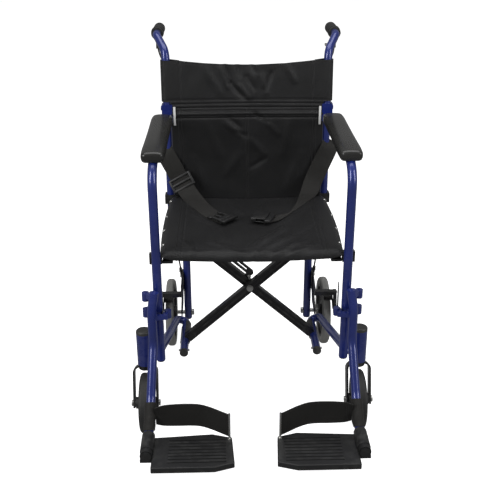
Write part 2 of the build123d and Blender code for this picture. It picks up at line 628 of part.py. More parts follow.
    # Brake arm: shoe over the tyre, inner arm, pin through the block and the outer lever
    with BuildPart() as brake_arm:
        with BuildSketch(Plane.YZ.offset(min(side * (block_in - 3.5), side * (REAR_X - 11)))) as shoe:
            with Locations(Location((shoe_y, shoe_z), SHOE_ANGLE - 90)):
                Rectangle(26, 8)
        extrude(shoe.sketch, amount=block_in - 3.5 - REAR_X + 11)
        tangent_y = math.sin(shoe_angle)
        tangent_z = -math.cos(shoe_angle)
        half_y = 6 * math.cos(shoe_angle)
        half_z = 6 * math.sin(shoe_angle)
        add_plate_yz(
            [
                (arm_pin_y + half_y - 6 * tangent_y, arm_pin_z + half_z - 6 * tangent_z),
                (arm_pin_y - half_y * 0.6 - 6 * tangent_y, arm_pin_z - half_z * 0.6 - 6 * tangent_z),
                (shoe_y - half_y * 0.6 + 13 * tangent_y, shoe_z - half_z * 0.6 + 13 * tangent_z),
                (shoe_y + half_y + 13 * tangent_y, shoe_z + half_z + 13 * tangent_z),
            ],
            side * (block_in - 3.5), side * (block_in - 0.5))
        add_bar((side * (block_in - 2), arm_pin_y, arm_pin_z), (side * (block_out + 4), arm_pin_y, arm_pin_z), 3)
        add_plate_yz(
            [
                (arm_pin_y - 7, arm_pin_z - 7), (arm_pin_y + 7, arm_pin_z - 7),
                (arm_pin_y + 9, arm_pin_z + 30), (arm_pin_y + 5, arm_pin_z + 78),
                (arm_pin_y - 5, arm_pin_z + 78),
            ],
            side * (block_out + 3.4), side * (block_out + 5.4))
    brake_arm.part.label = f"{name}_brake_arm"
    export_step(brake_arm.part, f"parts/{name}_brake_arm.step")

    # Frame bolts: brake bolts through the post and the rail's snap pins
    with BuildPart() as frame_bolts:
        for bolt_z in BRAKE_BOLT_ZS:
            add_bar((side * (brake_in + BRAKE_PLATE + 0.03), POST_Y, bolt_z),
                    (side * (brake_in + BRAKE_PLATE + 5), POST_Y, bolt_z), 5.5)
            add_bar((side * (POST_X + TUBE_R + 0.05), POST_Y, bolt_z),
                    (side * (brake_in + 5), POST_Y, bolt_z), BRAKE_BOLT_R)
        add_bar((side * (block_out + 0.03), BRAKE_BAR_Y + 5, BRAKE_BAR_Z - 1),
                (side * (block_out + 3), BRAKE_BAR_Y + 5, BRAKE_BAR_Z - 1), 4)
        for end in (-1, 1):
            start_x = side * RAIL_X + end * (TUBE_R + 0.05)
            add_bar((start_x, RAIL_FRONT_Y + 9, RAIL_Z), (start_x + end * 3.5, RAIL_FRONT_Y + 9, RAIL_Z), 3)
    frame_bolts.part.label = f"{name}_frame_bolts"
    export_step(frame_bolts.part, f"parts/{name}_frame_bolts.step")

    # Rear wheel on its axle
    rear = (side * REAR_X, POST_Y, REAR_R)
    with BuildPart() as rear_axle:
        add_bar((side * (POST_X - 16), *rear[1:]), (side * (REAR_X + 18), *rear[1:]), REAR_AXLE_R)
        add_bar((side * (REAR_X + 16 + TOUCH), *rear[1:]), (side * (REAR_X + 22), *rear[1:]), 10)
        add_bar((side * (POST_X - TUBE_R - 0.1), *rear[1:]), (side * (POST_X - 18), *rear[1:]), 9)
    rear_axle.part.label = f"{name}_rear_axle"
    export_step(rear_axle.part, f"parts/{name}_rear_axle.step")

    rear_rim_r = REAR_R - 21
    with BuildPart() as rear_rim:
        add_wheel_rim(rear, rear_rim_r, REAR_WIDTH, 19, 32, REAR_AXLE_R + SPIN, 6)
    rear_rim.part.label = f"{name}_rear_rim"
    export_step(rear_rim.part, f"parts/{name}_rear_rim.step")

    with BuildPart() as rear_tyre:
        add_tyre(rear, REAR_R, rear_rim_r, REAR_WIDTH)
    rear_tyre.part.label = f"{name}_rear_tyre"
    export_step(rear_tyre.part, f"parts/{name}_rear_tyre.step")

    # Caster: fork with its stem, axle bolt, rim and tyre
    caster = (side * CASTER_X, CASTER_AXLE_Y, CASTER_R)
    crown_drop = 12.0
    with BuildPart() as caster_fork:
        add_bar((*housing, CROWN_Z), (*housing, HOUSING_HIGH_Z - 3), STEM_R)
        add_bar((*housing, CROWN_Z - crown_drop), (*housing, CROWN_Z), 17)
        crown = Vector(*housing, CROWN_Z - crown_drop / 2 - 1)
        tip = Vector(*caster)
        down = (tip - crown).normalized()
        leg_end = tip + down * 11
        run = [
            (crown.X - FORK_HALF, leg_end.Y, leg_end.Z),
            (crown.X - FORK_HALF, crown.Y, crown.Z),
            (crown.X + FORK_HALF, crown.Y, crown.Z),
            (crown.X + FORK_HALF, leg_end.Y, leg_end.Z),
        ]
        with BuildLine() as fork_line:
            FilletPolyline(*run, radius=[16, 16])
        with BuildSketch(Plane(origin=run[0], x_dir=(1, 0, 0), z_dir=-down)) as strap:
            Rectangle(FORK_STRAP, FORK_STRAP_WIDTH)
        sweep(sections=strap.sketch, path=fork_line.line)
        add_bar((crown.X - 60, *caster[1:]), (crown.X + 60, *caster[1:]),
                CASTER_AXLE_R + SEAT_GAP, Mode.SUBTRACT)
    caster_fork.part.label = f"{name}_caster_fork"
    export_step(caster_fork.part, f"parts/{name}_caster_fork.step")

    fork_out = FORK_HALF + FORK_STRAP / 2
    with BuildPart() as caster_axle:
        add_bar((crown.X - fork_out, *caster[1:]), (crown.X + fork_out, *caster[1:]), CASTER_AXLE_R)
        for end in (-1, 1):
            add_bar((crown.X + end * (fork_out + 0.03), *caster[1:]),
                    (crown.X + end * (fork_out + 5), *caster[1:]), 8)
    caster_axle.part.label = f"{name}_caster_axle"
    export_step(caster_axle.part, f"parts/{name}_caster_axle.step")

    caster_rim_r = CASTER_R - 17
    with BuildPart() as caster_rim:
        add_wheel_rim(caster, caster_rim_r, CASTER_WIDTH, 15, 50, CASTER_AXLE_R + SPIN, 5)
    caster_rim.part.label = f"{name}_caster_rim"
    export_step(caster_rim.part, f"parts/{name}_caster_rim.step")

    with BuildPart() as caster_tyre:
        add_tyre(caster, CASTER_R, caster_rim_r, CASTER_WIDTH)
    caster_tyre.part.label = f"{name}_caster_tyre"
    export_step(caster_tyre.part, f"parts/{name}_caster_tyre.step")

    # Hanger: bent tube hung on the ears' pins, with a latch plate behind it
    with BuildPart() as hanger:
        add_tube(hanger_run(side), HANGER_BENDS, TUBE_R)
        for level in EAR_LEVELS:
            ring_low = level + TOUCH
            add_bar((*pivot, ring_low), (*pivot, ring_low + 13), EAR_R)
            add_plate_xy(
                [
                    (pivot[0], pivot[1] + 5), (pivot[0], pivot[1] - 7),
                    (side * HANGER_X, HANGER_Y - 5), (side * HANGER_X, HANGER_Y + 7),
                ],
                ring_low, ring_low + 13)
        inner_x = side * (UPRIGHT_X - 24)
        add_plate_xy(
            [
                (side * HANGER_X, HANGER_Y - 4), (inner_x, HANGER_Y + 2),
                (inner_x, UPRIGHT_Y - 4), (side * (UPRIGHT_X - 14), UPRIGHT_Y - 4),
                (side * (UPRIGHT_X - 12), HANGER_Y + 9), (side * HANGER_X, HANGER_Y + 8),
            ],
            EAR_LEVELS[0] - 10, EAR_LEVELS[0] + 2)
        add_bar((inner_x, UPRIGHT_Y - 12, EAR_LEVELS[0] - 14), (inner_x, UPRIGHT_Y - 12, EAR_LEVELS[0] + 6), 8)
        hollow = hanger_run(side)
        top = Vector(*hollow[0])
        hollow[0] = top + (Vector(*hollow[1]) - top).normalized() * HANGER_CAP
        add_tube(hollow, HANGER_BENDS, TUBE_BORE, Mode.SUBTRACT)
        for level in EAR_LEVELS:
            add_bar((*pivot, level - 1), (*pivot, level + 20), HANGER_PIN_R + SPIN, Mode.SUBTRACT)
    hanger.part.label = f"{name}_hanger"
    export_step(hanger.part, f"parts/{name}_hanger.step")

    # Footplate: moulded plate grooved across, with a hinge barrel round the hanger's end
    foot_x = side * FOOT_TUBE_X
    heel_x = side * (PLATE_INNER_X + HEEL_POST_IN)
    heel_y = PLATE_BACK_Y - HEEL_POST_BACK
    barrel_back_y = FOOT_TUBE_BACK_Y - 14
    with BuildPart() as footplate:
        with BuildSketch(Plane.XY.offset(PLATE_LOW_Z)) as outline:
            with BuildLine():
                FilletPolyline(
                    (side * PLATE_OUTER_X, PLATE_FRONT_Y),
                    (side * (PLATE_INNER_X + PLATE_CORNER_X), PLATE_FRONT_Y),
                    (side * PLATE_INNER_X, PLATE_FRONT_Y + PLATE_CORNER_Y),
                    (side * (PLATE_INNER_X + 5), PLATE_BACK_Y - PLATE_CORNER_Y),
                    (side * (PLATE_INNER_X + PLATE_CORNER_X + 6), PLATE_BACK_Y),
                    (side * PLATE_OUTER_X, PLATE_BACK_Y - PLATE_SKEW), radius=3, close=True)
            make_face()
        extrude(outline.sketch, amount=PLATE_THICK)
        fillet(footplate.faces().sort_by(Axis.Z)[-1].edges(), 2.5)
        groove_low_x = PLATE_INNER_X + HEEL_POST_IN + 8
        with BuildSketch(Plane.XY.offset(PLATE_TOP_Z - GROOVE_DEPTH)) as grooves:
            with Locations((side * (groove_low_x + GROOVE_OUTER_X) / 2, (PLATE_FRONT_Y + PLATE_BACK_Y) / 2 - 3)):
                with GridLocations(0, GROOVE_PITCH, 1, GROOVE_COUNT):
                    SlotOverall(GROOVE_OUTER_X - groove_low_x, GROOVE_WIDTH)
        extrude(grooves.sketch, amount=2 * GROOVE_DEPTH, mode=Mode.SUBTRACT)
        add_bar((foot_x, barrel_back_y, FOOT_TUBE_Z), (foot_x, FOOT_TUBE_FRONT_Y + 6, FOOT_TUBE_Z), TUBE_R + 4.5)
        add_block((side * (PLATE_OUTER_X - 3), barrel_back_y - 4, PLATE_LOW_Z + 2),
                  (side * (FOOT_TUBE_X + FLANGE_OUT), FOOT_TUBE_FRONT_Y - 8, PLATE_TOP_Z - 4))
        add_bar((foot_x, barrel_back_y + 1, FOOT_TUBE_Z), (foot_x, PLATE_FRONT_Y - 2, FOOT_TUBE_Z),
                TUBE_R + SPIN, Mode.SUBTRACT)
        add_bar((foot_x, FOOT_TUBE_FRONT_Y - TOUCH, FOOT_TUBE_Z), (foot_x, FOOT_TUBE_FRONT_Y - 12, FOOT_TUBE_Z), 12)
        add_bar((foot_x, FOOT_TUBE_FRONT_Y + 7, FOOT_TUBE_Z), (foot_x, FOOT_TUBE_FRONT_Y - 9, FOOT_TUBE_Z), 14.5)
        add_bar((foot_x, FOOT_TUBE_FRONT_Y + 8, FOOT_TUBE_Z),
                (foot_x, FOOT_TUBE_FRONT_Y - TOUCH, FOOT_TUBE_Z), TUBE_R + SPIN, Mode.SUBTRACT)
        add_bar((heel_x, heel_y, PLATE_LOW_Z - 1), (heel_x, heel_y, PLATE_TOP_Z + 1),
                HEEL_POST_R + SEAT_GAP, Mode.SUBTRACT)
    footplate.part.label = f"{name}_footplate"
    export_step(footplate.part, f"parts/{name}_footplate.step")

    # Heel post: a thin steel rod that holds the inner end of the heel loop
    with BuildPart() as heel_post:
        add_bar((heel_x, heel_y, PLATE_LOW_Z + 2), (heel_x, heel_y, PLATE_TOP_Z + HEEL_POST_HIGH), HEEL_POST_R)
        add_bar((heel_x, heel_y, PLATE_TOP_Z + 0.03), (heel_x, heel_y, PLATE_TOP_Z + 3), HEEL_POST_R + 2.5)
    heel_post.part.label = f"{name}_heel_post"
    export_step(heel_post.part, f"parts/{name}_heel_post.step")

    # Heel loop: a webbing band from the hanger across behind the heel to the post
    strap_low_z = PLATE_TOP_Z + 8
    hook_x = side * (FOOT_TUBE_X - 4)
    band_y = FOOT_TUBE_BACK_Y + 24
    post_back_y = heel_y + HEEL_POST_R + TOUCH
    with BuildPart() as heel_loop:
        with BuildSketch(Plane.XY.offset(strap_low_z)) as band:
            with BuildLine():
                ThreePointArc((heel_x, post_back_y), (heel_x + side * 38, post_back_y + 24),
                              (heel_x + side * 86, band_y - HEEL_STRAP_THICK))
                Line((heel_x + side * 86, band_y - HEEL_STRAP_THICK), (hook_x, band_y - HEEL_STRAP_THICK))
                Line((hook_x, band_y - HEEL_STRAP_THICK), (hook_x, band_y))
                Line((hook_x, band_y), (heel_x + side * 86, band_y))
                ThreePointArc((heel_x + side * 86, band_y), (heel_x + side * 38, post_back_y + 27),
                              (heel_x, post_back_y + HEEL_STRAP_THICK))
                Line((heel_x, post_back_y + HEEL_STRAP_THICK), (heel_x, post_back_y))
            make_face()
        extrude(band.sketch, amount=HEEL_STRAP_HEIGHT)
        add_tube(hanger_run(side), HANGER_BENDS, TUBE_R + TOUCH, Mode.SUBTRACT)
    heel_loop.part.label = f"{name}_heel_loop"
    export_step(heel_loop.part, f"parts/{name}_heel_loop.step")

    # Seat rail: a straight tube that the seat sling is screwed to
    rail_x = side * SEAT_RAIL_X
    with BuildPart() as seat_rail:
        add_bar((rail_x, SEAT_RAIL_FRONT_Y, SEAT_RAIL_Z), (rail_x, SEAT_RAIL_BACK_Y, SEAT_RAIL_Z), TUBE_R)
        add_bar((rail_x, SEAT_RAIL_FRONT_Y + 2, SEAT_RAIL_Z), (rail_x, SEAT_RAIL_BACK_Y - 2, SEAT_RAIL_Z),
                TUBE_BORE, Mode.SUBTRACT)
    seat_rail.part.label = f"{name}_seat_rail"
    export_step(seat_rail.part, f"parts/{name}_seat_rail.step")

    # Lap belt half: webbing down the back and forward over the seat, with its buckle half
    seat_top = SEAT_RAIL_Z + TUBE_R + TOUCH + CLOTH + TOUCH
    drop_x = POST_TOP_X - TUBE_R - 14
    bend_y = 190.0
    tip_y = 36.0
    tip_x = 34.0 if side < 0 else 22.0
    with BuildPart() as lap_belt:
        add_plate_xy(
            [
                (side * (drop_x - BELT_WIDTH), BELT_DROP_Y), (side * drop_x, BELT_DROP_Y),
                (side * drop_x, BELT_DROP_Y + BELT_THICK),
                (side * (drop_x - BELT_WIDTH), BELT_DROP_Y + BELT_THICK),
            ],
            seat_top, BELT_TOP_Z)
        add_plate_xy(
            [
                (side * drop_x, BELT_DROP_Y), (side * (drop_x - BELT_WIDTH), BELT_DROP_Y),
                (side * (tip_x + 50), tip_y + 22), (side * (tip_x + 56), tip_y - BELT_WIDTH / 2),
                (side * (drop_x - 26), bend_y - 60),
            ],
            seat_top, seat_top + BELT_THICK)
        add_block((side * tip_x, tip_y - BELT_WIDTH / 2, seat_top),
                  (side * (tip_x + BUCKLE_LENGTH), tip_y + BELT_WIDTH / 2, seat_top + BUCKLE_THICK))
    lap_belt.part.label = f"{name}_lap_belt"
    export_step(lap_belt.part, f"parts/{name}_lap_belt.step")

# ---- Pieces shared by both sides ---------------------------------------------------------------
front_low_y = CROSS_Y - CROSS_GAP / 2 - CROSS_DEPTH
rear_low_y = CROSS_Y + CROSS_GAP / 2

# Front cross arm: right lower rail to left seat rail
with BuildPart() as front_cross_arm:
    cross_arm(SIDES["right"], front_low_y)
    add_bar((0, front_low_y - 1, CENTRE_Z), (0, rear_low_y, CENTRE_Z), CENTRE_BOLT_R + SEAT_GAP, Mode.SUBTRACT)
front_cross_arm.part.label = "front_cross_arm"
export_step(front_cross_arm.part, "parts/front_cross_arm.step")

# Rear cross arm: left lower rail to right seat rail
with BuildPart() as rear_cross_arm:
    cross_arm(SIDES["left"], rear_low_y)
    add_bar((0, rear_low_y - 1, CENTRE_Z), (0, rear_low_y + CROSS_DEPTH + 1, CENTRE_Z),
            CENTRE_BOLT_R + SPIN, Mode.SUBTRACT)
rear_cross_arm.part.label = "rear_cross_arm"
export_step(rear_cross_arm.part, "parts/rear_cross_arm.step")

# Centre bolt with its head, nut and washers
with BuildPart() as centre_bolt:
    add_bar((0, front_low_y - 3, CENTRE_Z), (0, rear_low_y + CROSS_DEPTH + 7, CENTRE_Z), CENTRE_BOLT_R)
    with BuildSketch(Plane.XZ.offset(-(front_low_y - 7))) as head:
        with Locations((0, CENTRE_Z)):
            RegularPolygon(CENTRE_HEAD_R, 6)
    extrude(head.sketch, amount=-5.5)
    add_bar((0, front_low_y - 1.6, CENTRE_Z), (0, front_low_y - 0.03, CENTRE_Z), CENTRE_WASHER_R)
    with BuildSketch(Plane.XZ.offset(-(rear_low_y + CROSS_DEPTH + TOUCH))) as nut:
        with Locations((0, CENTRE_Z)):
            RegularPolygon(CENTRE_HEAD_R, 6)
    extrude(nut.sketch, amount=-6)
centre_bolt.part.label = "centre_bolt"
export_step(centre_bolt.part, "parts/centre_bolt.step")

# Folding stay: a link beside the rear arm, from near the centre up to the right seat rail
stay_lean = 180 - ARM_RISE
along = Vector(math.cos(math.radians(stay_lean)), 0, math.sin(math.radians(stay_lean)))
normal = Vector(math.sin(math.radians(ARM_RISE)), 0, math.cos(math.radians(ARM_RISE)))
with BuildPart() as folding_stay:
    start = Vector(0, 0, CENTRE_Z) + normal * STAY_OFFSET + along * STAY_START
    middle = start + along * (STAY_LENGTH / 2)
    with BuildSketch(Plane.XZ.offset(-(rear_low_y + 4))) as link:
        with Locations(Location((middle.X, middle.Z), stay_lean)):
            SlotOverall(STAY_LENGTH + STAY_WIDTH, STAY_WIDTH)
            with Locations((0, 0)):
                SlotOverall(STAY_LENGTH - 24, STAY_WIDTH * 0.3, mode=Mode.SUBTRACT)
    extrude(link.sketch, amount=-8)
    for reach in (0, STAY_LENGTH - 6):
        foot = start + along * reach
        seat = foot - normal * (STAY_OFFSET - CROSS_WIDTH / 2 - 0.03)
        with BuildSketch(Plane.XZ.offset(-(rear_low_y + 5))) as lug:
            with Locations(Location(((foot.X + seat.X) / 2, (foot.Z + seat.Z) / 2), stay_lean)):
                Rectangle(14, STAY_OFFSET - CROSS_WIDTH / 2 - 0.03)
        extrude(lug.sketch, amount=-6)
folding_stay.part.label = "folding_stay"
export_step(folding_stay.part, "parts/folding_stay.step")

# Seat sling: one cloth over both seat rails, turned down outside them
sling_top = SEAT_RAIL_Z + TUBE_R + TOUCH + CLOTH
sling_out = SEAT_RAIL_X + TUBE_R + TOUCH + CLOTH - 0.6
with BuildPart() as seat_sling:
    add_block((-sling_out, SLING_FRONT_Y, sling_top - CLOTH), (sling_out, SLING_BACK_Y, sling_top))
    for side in SIDES.values():
        add_block((side * (sling_out - CLOTH + 0.6), SLING_FRONT_Y, SEAT_RAIL_Z - SLING_DROP + 12),
                  (side * sling_out, SLING_BACK_Y, sling_top))
seat_sling.part.label = "seat_sling"
export_step(seat_sling.part, "parts/seat_sling.step")

# Seat screws along both edges of the sling
with BuildPart() as seat_screws:
    for side in SIDES.values():
        for screw_y in SEAT_SCREW_YS:
            centre = (side * SEAT_RAIL_X, screw_y, sling_top + 0.03)
            add_bar(centre, (centre[0], centre[1], sling_top + SEAT_SCREW_HIGH), SEAT_SCREW_R)
seat_screws.part.label = "seat_screws"
export_step(seat_screws.part, "parts/seat_screws.step")

# Upper back: a cloth panel with a sleeve round each cane
with BuildPart() as upper_back:
    low_y = POST_TOP_Y + (BACK_SLEEVE_LOW_Z - HINGE_Z) * CANE_LEAN
    with BuildSketch(Plane.XY.offset(BACK_SLEEVE_LOW_Z)) as profile:
        with Locations((0, low_y - TUBE_R - TOUCH)):
            Rectangle(2 * POST_TOP_X, CLOTH + 1)
        with Locations((-POST_TOP_X, low_y), (POST_TOP_X, low_y)):
            Circle(TUBE_R + TOUCH + CLOTH)
        with Locations((-POST_TOP_X, low_y), (POST_TOP_X, low_y)):
            Circle(TUBE_R + TOUCH, mode=Mode.SUBTRACT)
    rise = Vector(0, CANE_LEAN, 1)
    extrude(profile.sketch, amount=(BACK_TOP_Z - BACK_SLEEVE_LOW_Z) * rise.length, dir=rise.normalized())
    tab_y = low_y - TUBE_R - TOUCH
    add_block((-POST_TOP_X + 26, tab_y - 2, BACK_SPLIT_Z + 2), (POST_TOP_X - 26, tab_y + 2, BACK_SLEEVE_LOW_Z + 1))
upper_back.part.label = "upper_back"
export_step(upper_back.part, "parts/upper_back.step")

# Lower back: the panel below the fold, between the two rear posts
lower_half = POST_TOP_X - TUBE_R - TOUCH - HINGE_PLATE - TOUCH
with BuildPart() as lower_back:
    add_block((-lower_half, POST_TOP_Y - 14, BACK_LOW_Z), (lower_half, POST_TOP_Y - 14 + CLOTH, BACK_SPLIT_Z))
lower_back.part.label = "lower_back"
export_step(lower_back.part, "parts/lower_back.step")
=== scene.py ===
# %% [markdown]
# # A folding transport wheelchair
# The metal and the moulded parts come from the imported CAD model, which stays
# where it is. This lesson gives those parts their finishes and makes the soft
# goods around them: the seat and back slings, the lap belt, the heel loops, the
# arm pads, the grips and the brake cables. Every size is in metres, X across the chair, the seat
# faces -Y and Z is up.

# %% Load the frame
import json
import math

import bmesh
import bpy
from mathutils import Matrix, Vector, noise


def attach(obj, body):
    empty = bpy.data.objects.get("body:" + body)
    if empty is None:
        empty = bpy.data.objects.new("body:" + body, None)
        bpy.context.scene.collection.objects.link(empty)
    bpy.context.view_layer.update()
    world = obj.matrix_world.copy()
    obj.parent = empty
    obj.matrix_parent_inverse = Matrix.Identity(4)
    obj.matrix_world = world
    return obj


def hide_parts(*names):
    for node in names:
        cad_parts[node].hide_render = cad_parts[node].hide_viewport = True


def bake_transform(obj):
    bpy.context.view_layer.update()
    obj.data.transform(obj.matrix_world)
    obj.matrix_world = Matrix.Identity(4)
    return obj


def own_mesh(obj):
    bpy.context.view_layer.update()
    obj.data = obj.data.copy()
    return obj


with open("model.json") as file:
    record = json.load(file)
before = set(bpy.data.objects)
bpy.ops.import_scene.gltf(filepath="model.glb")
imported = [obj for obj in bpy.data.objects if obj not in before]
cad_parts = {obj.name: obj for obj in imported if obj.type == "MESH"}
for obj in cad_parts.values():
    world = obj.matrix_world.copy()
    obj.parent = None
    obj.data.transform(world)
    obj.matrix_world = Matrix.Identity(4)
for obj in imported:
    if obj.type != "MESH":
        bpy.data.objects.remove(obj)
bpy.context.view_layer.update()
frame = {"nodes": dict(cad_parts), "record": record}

SIDES = {"right": -1, "left": 1}    # the sitter's right hand is at -X
nodes = frame["nodes"]

# %% [markdown]
# ## Camera, light and floor
# A catalogue picture of a chair is taken from a little above the seated eye,
# with a long lens, on a white sweep. Three large soft boxes give the long clean
# highlights on round tube, and a bright surround keeps black cloth readable.

# %% Camera
scene = bpy.context.scene
camera_data = bpy.data.cameras.new("studio_camera")
camera = bpy.data.objects.new("studio_camera", camera_data)
scene.collection.objects.link(camera)
camera.location = (-0.061, -1.892, 1.253)
camera.rotation_euler = (math.radians(66.1), 0.0, math.radians(-1.83))
camera_data.lens = 57.3
camera_data.sensor_width = 36.0
scene.camera = camera
print("camera at", tuple(round(c, 3) for c in camera.location))

# %% Soft boxes and surround
def soft_box(name, place, aim, width, height, power):
    """A large area light that faces the point aim."""
    data = bpy.data.lights.new(name, "AREA")
    data.shape = "RECTANGLE"
    data.size, data.size_y = width, height
    data.energy = power
    lamp = bpy.data.objects.new(name, data)
    scene.collection.objects.link(lamp)
    lamp.location = place
    lamp.rotation_euler = (Vector(aim) - Vector(place)).to_track_quat("-Z", "Y").to_euler()
    return lamp


MIDDLE = (0.0, 0.0, 0.45)
soft_box("soft_box_left", (-1.9, -1.6, 1.9), MIDDLE, 0.9, 1.8, 42)
soft_box("soft_box_right", (2.0, -1.3, 1.7), MIDDLE, 0.8, 1.8, 26)
soft_box("soft_box_above", (0.0, 0.2, 2.6), MIDDLE, 2.2, 1.6, 26)

world = bpy.data.worlds.new("white_surround")
world.use_nodes = True
scene.world = world
surround = world.node_tree
light_path = surround.nodes.new("ShaderNodeLightPath")
seen = surround.nodes.new("ShaderNodeMapRange")
surround.links.new(light_path.outputs["Is Camera Ray"], seen.inputs["Value"])
seen.inputs["To Min"].default_value = 0.22
seen.inputs["To Max"].default_value = 1.0
surround.nodes["Background"].inputs["Color"].default_value = (1, 1, 1, 1)
surround.links.new(seen.outputs["Result"], surround.nodes["Background"].inputs["Strength"])
scene.view_settings.view_transform = "Standard"

# %% Floor sweep
def deselect():
    bpy.ops.object.select_all(action="DESELECT")


deselect()
bpy.ops.mesh.primitive_grid_add(x_subdivisions=8, y_subdivisions=8, size=14, location=(0, 2, -0.001))
floor = bpy.context.object
floor.name = "floor"
floor_finish = bpy.data.materials.new("floor_paper")
floor_finish.use_nodes = True
paper = floor_finish.node_tree.nodes["Principled BSDF"]
paper.inputs["Base Color"].default_value = (0.93, 0.93, 0.93, 1)
paper.inputs["Roughness"].default_value = 0.9
paper.inputs["Specular IOR Level"].default_value = 0.1
paper.inputs["Emission Color"].default_value = (1, 1, 1, 1)
paper.inputs["Emission Strength"].default_value = 0.86
floor.data.materials.append(floor_finish)
floor.visible_glossy = floor.visible_diffuse = False

# %% [markdown]
# ## Shared effects
# Grain, weave, edge wear and slow colour drift turn up in almost every finish,
# so each is a node group with its own inputs. A group only gives out heights and
# masks; the shader that uses them stays in the material.

# %% Node helpers
def set_or_link(tree, socket, value):
    """Puts a number on a socket, or links another socket to it."""
    if isinstance(value, bpy.types.NodeSocket):
        tree.links.new(value, socket)
    else:
        socket.default_value = value


def maths(tree, operation, *values):
    node = tree.nodes.new("ShaderNodeMath")
    node.operation = operation
    for i, value in enumerate(values):
        set_or_link(tree, node.inputs[i], value)
    return node.outputs[0]


def mapped(tree, value, low, high, to_low=0.0, to_high=1.0):
    """Stretches value from low..high to to_low..to_high, and clamps it."""
    node = tree.nodes.new("ShaderNodeMapRange")
    numbers = (value, low, high, to_low, to_high)
    for name, number in zip(("Value", "From Min", "From Max", "To Min", "To Max"), numbers):
        set_or_link(tree, node.inputs[name], number)
    return node.outputs["Result"]


def speckle(tree, vector, scale, detail=3.0):
    node = tree.nodes.new("ShaderNodeTexNoise")
    set_or_link(tree, node.inputs["Vector"], vector)
    set_or_link(tree, node.inputs["Scale"], scale)
    node.inputs["Detail"].default_value = detail
    return node.outputs["Fac"]


def new_group(name, inputs, outputs):
    """An empty node group with a vector input and these number sockets."""
    tree = bpy.data.node_groups.new(name, "ShaderNodeTree")
    tree.interface.new_socket("Vector", in_out="INPUT", socket_type="NodeSocketVector")
    for socket_name, value in inputs.items():
        made = tree.interface.new_socket(socket_name, in_out="INPUT", socket_type="NodeSocketFloat")
        made.default_value = value
    for socket_name in outputs:
        tree.interface.new_socket(socket_name, in_out="OUTPUT", socket_type="NodeSocketFloat")
    entry = tree.nodes.new("NodeGroupInput")
    leave = tree.nodes.new("NodeGroupOutput")
    return tree, entry.outputs, leave.inputs


# %% Grain, drift, wear and weave groups
grain, given, result = new_group("fine_grain", {"Scale": 900.0}, ["Height", "Mask"])
small = speckle(grain, given["Vector"], given["Scale"], 4.0)
grain.links.new(small, result["Height"])
grain.links.new(mapped(grain, small, 0.42, 0.62), result["Mask"])

drift, given, result = new_group("slow_drift", {"Scale": 9.0}, ["Mask"])
drift.links.new(mapped(drift, speckle(drift, given["Vector"], given["Scale"], 5.0), 0.3, 0.7), result["Mask"])

wear, given, result = new_group("edge_wear", {"Scale": 60.0, "Amount": 0.5}, ["Mask"])
geometry = wear.nodes.new("ShaderNodeNewGeometry")
edges = mapped(wear, geometry.outputs["Pointiness"], 0.53, 0.60)
broken = mapped(wear, speckle(wear, given["Vector"], given["Scale"], 6.0), 0.45, 0.62)
worn_edges = maths(wear, "MULTIPLY", edges, broken)
wear.links.new(maths(wear, "MULTIPLY", worn_edges, given["Amount"]), result["Mask"])

weave, given, result = new_group("plain_weave", {"Threads": 1400.0, "Long": 1.0}, ["Height", "Mask"])
parts = weave.nodes.new("ShaderNodeSeparateXYZ")
weave.links.new(given["Vector"], parts.inputs[0])
turns = maths(weave, "MULTIPLY", given["Threads"], math.pi)
u_turn = maths(weave, "MULTIPLY", parts.outputs["X"], turns)
v_turn = maths(weave, "MULTIPLY", maths(weave, "MULTIPLY", parts.outputs["Y"], turns), given["Long"])
u_wave, v_wave = maths(weave, "SINE", u_turn), maths(weave, "SINE", v_turn)
over = maths(weave, "GREATER_THAN", maths(weave, "MULTIPLY", u_wave, v_wave), 0.0)
warp = maths(weave, "ABSOLUTE", u_wave)
weft = maths(weave, "ABSOLUTE", v_wave)
height = maths(weave, "ADD", maths(weave, "MULTIPLY", warp, over),
               maths(weave, "MULTIPLY", weft, maths(weave, "SUBTRACT", 1.0, over)))
weave.links.new(height, result["Height"])
# The mask is low in the hollows of the weave; the cloth finish uses it to paint shade there.
weave.links.new(mapped(weave, height, 0.2, 0.9), result["Mask"])
print("groups", [g.name for g in bpy.data.node_groups])

# %% Finish maker
def place_group(tree, group, vector, **numbers):
    node = tree.nodes.new("ShaderNodeGroup")
    node.node_tree = group
    tree.links.new(vector, node.inputs["Vector"])
    for name, number in numbers.items():
        node.inputs[name].default_value = number
    return node


def blended(tree, mask, first, second):
    """Mixes two colours by a mask; each may be numbers or a socket."""
    node = tree.nodes.new("ShaderNodeMix")
    node.data_type = "RGBA"
    tree.links.new(mask, node.inputs["Factor"])
    for socket, colour in ((node.inputs[6], first), (node.inputs[7], second)):
        set_or_link(tree, socket, (*colour, 1) if isinstance(colour, tuple) else colour)
    return node.outputs[2]


finishes = {}


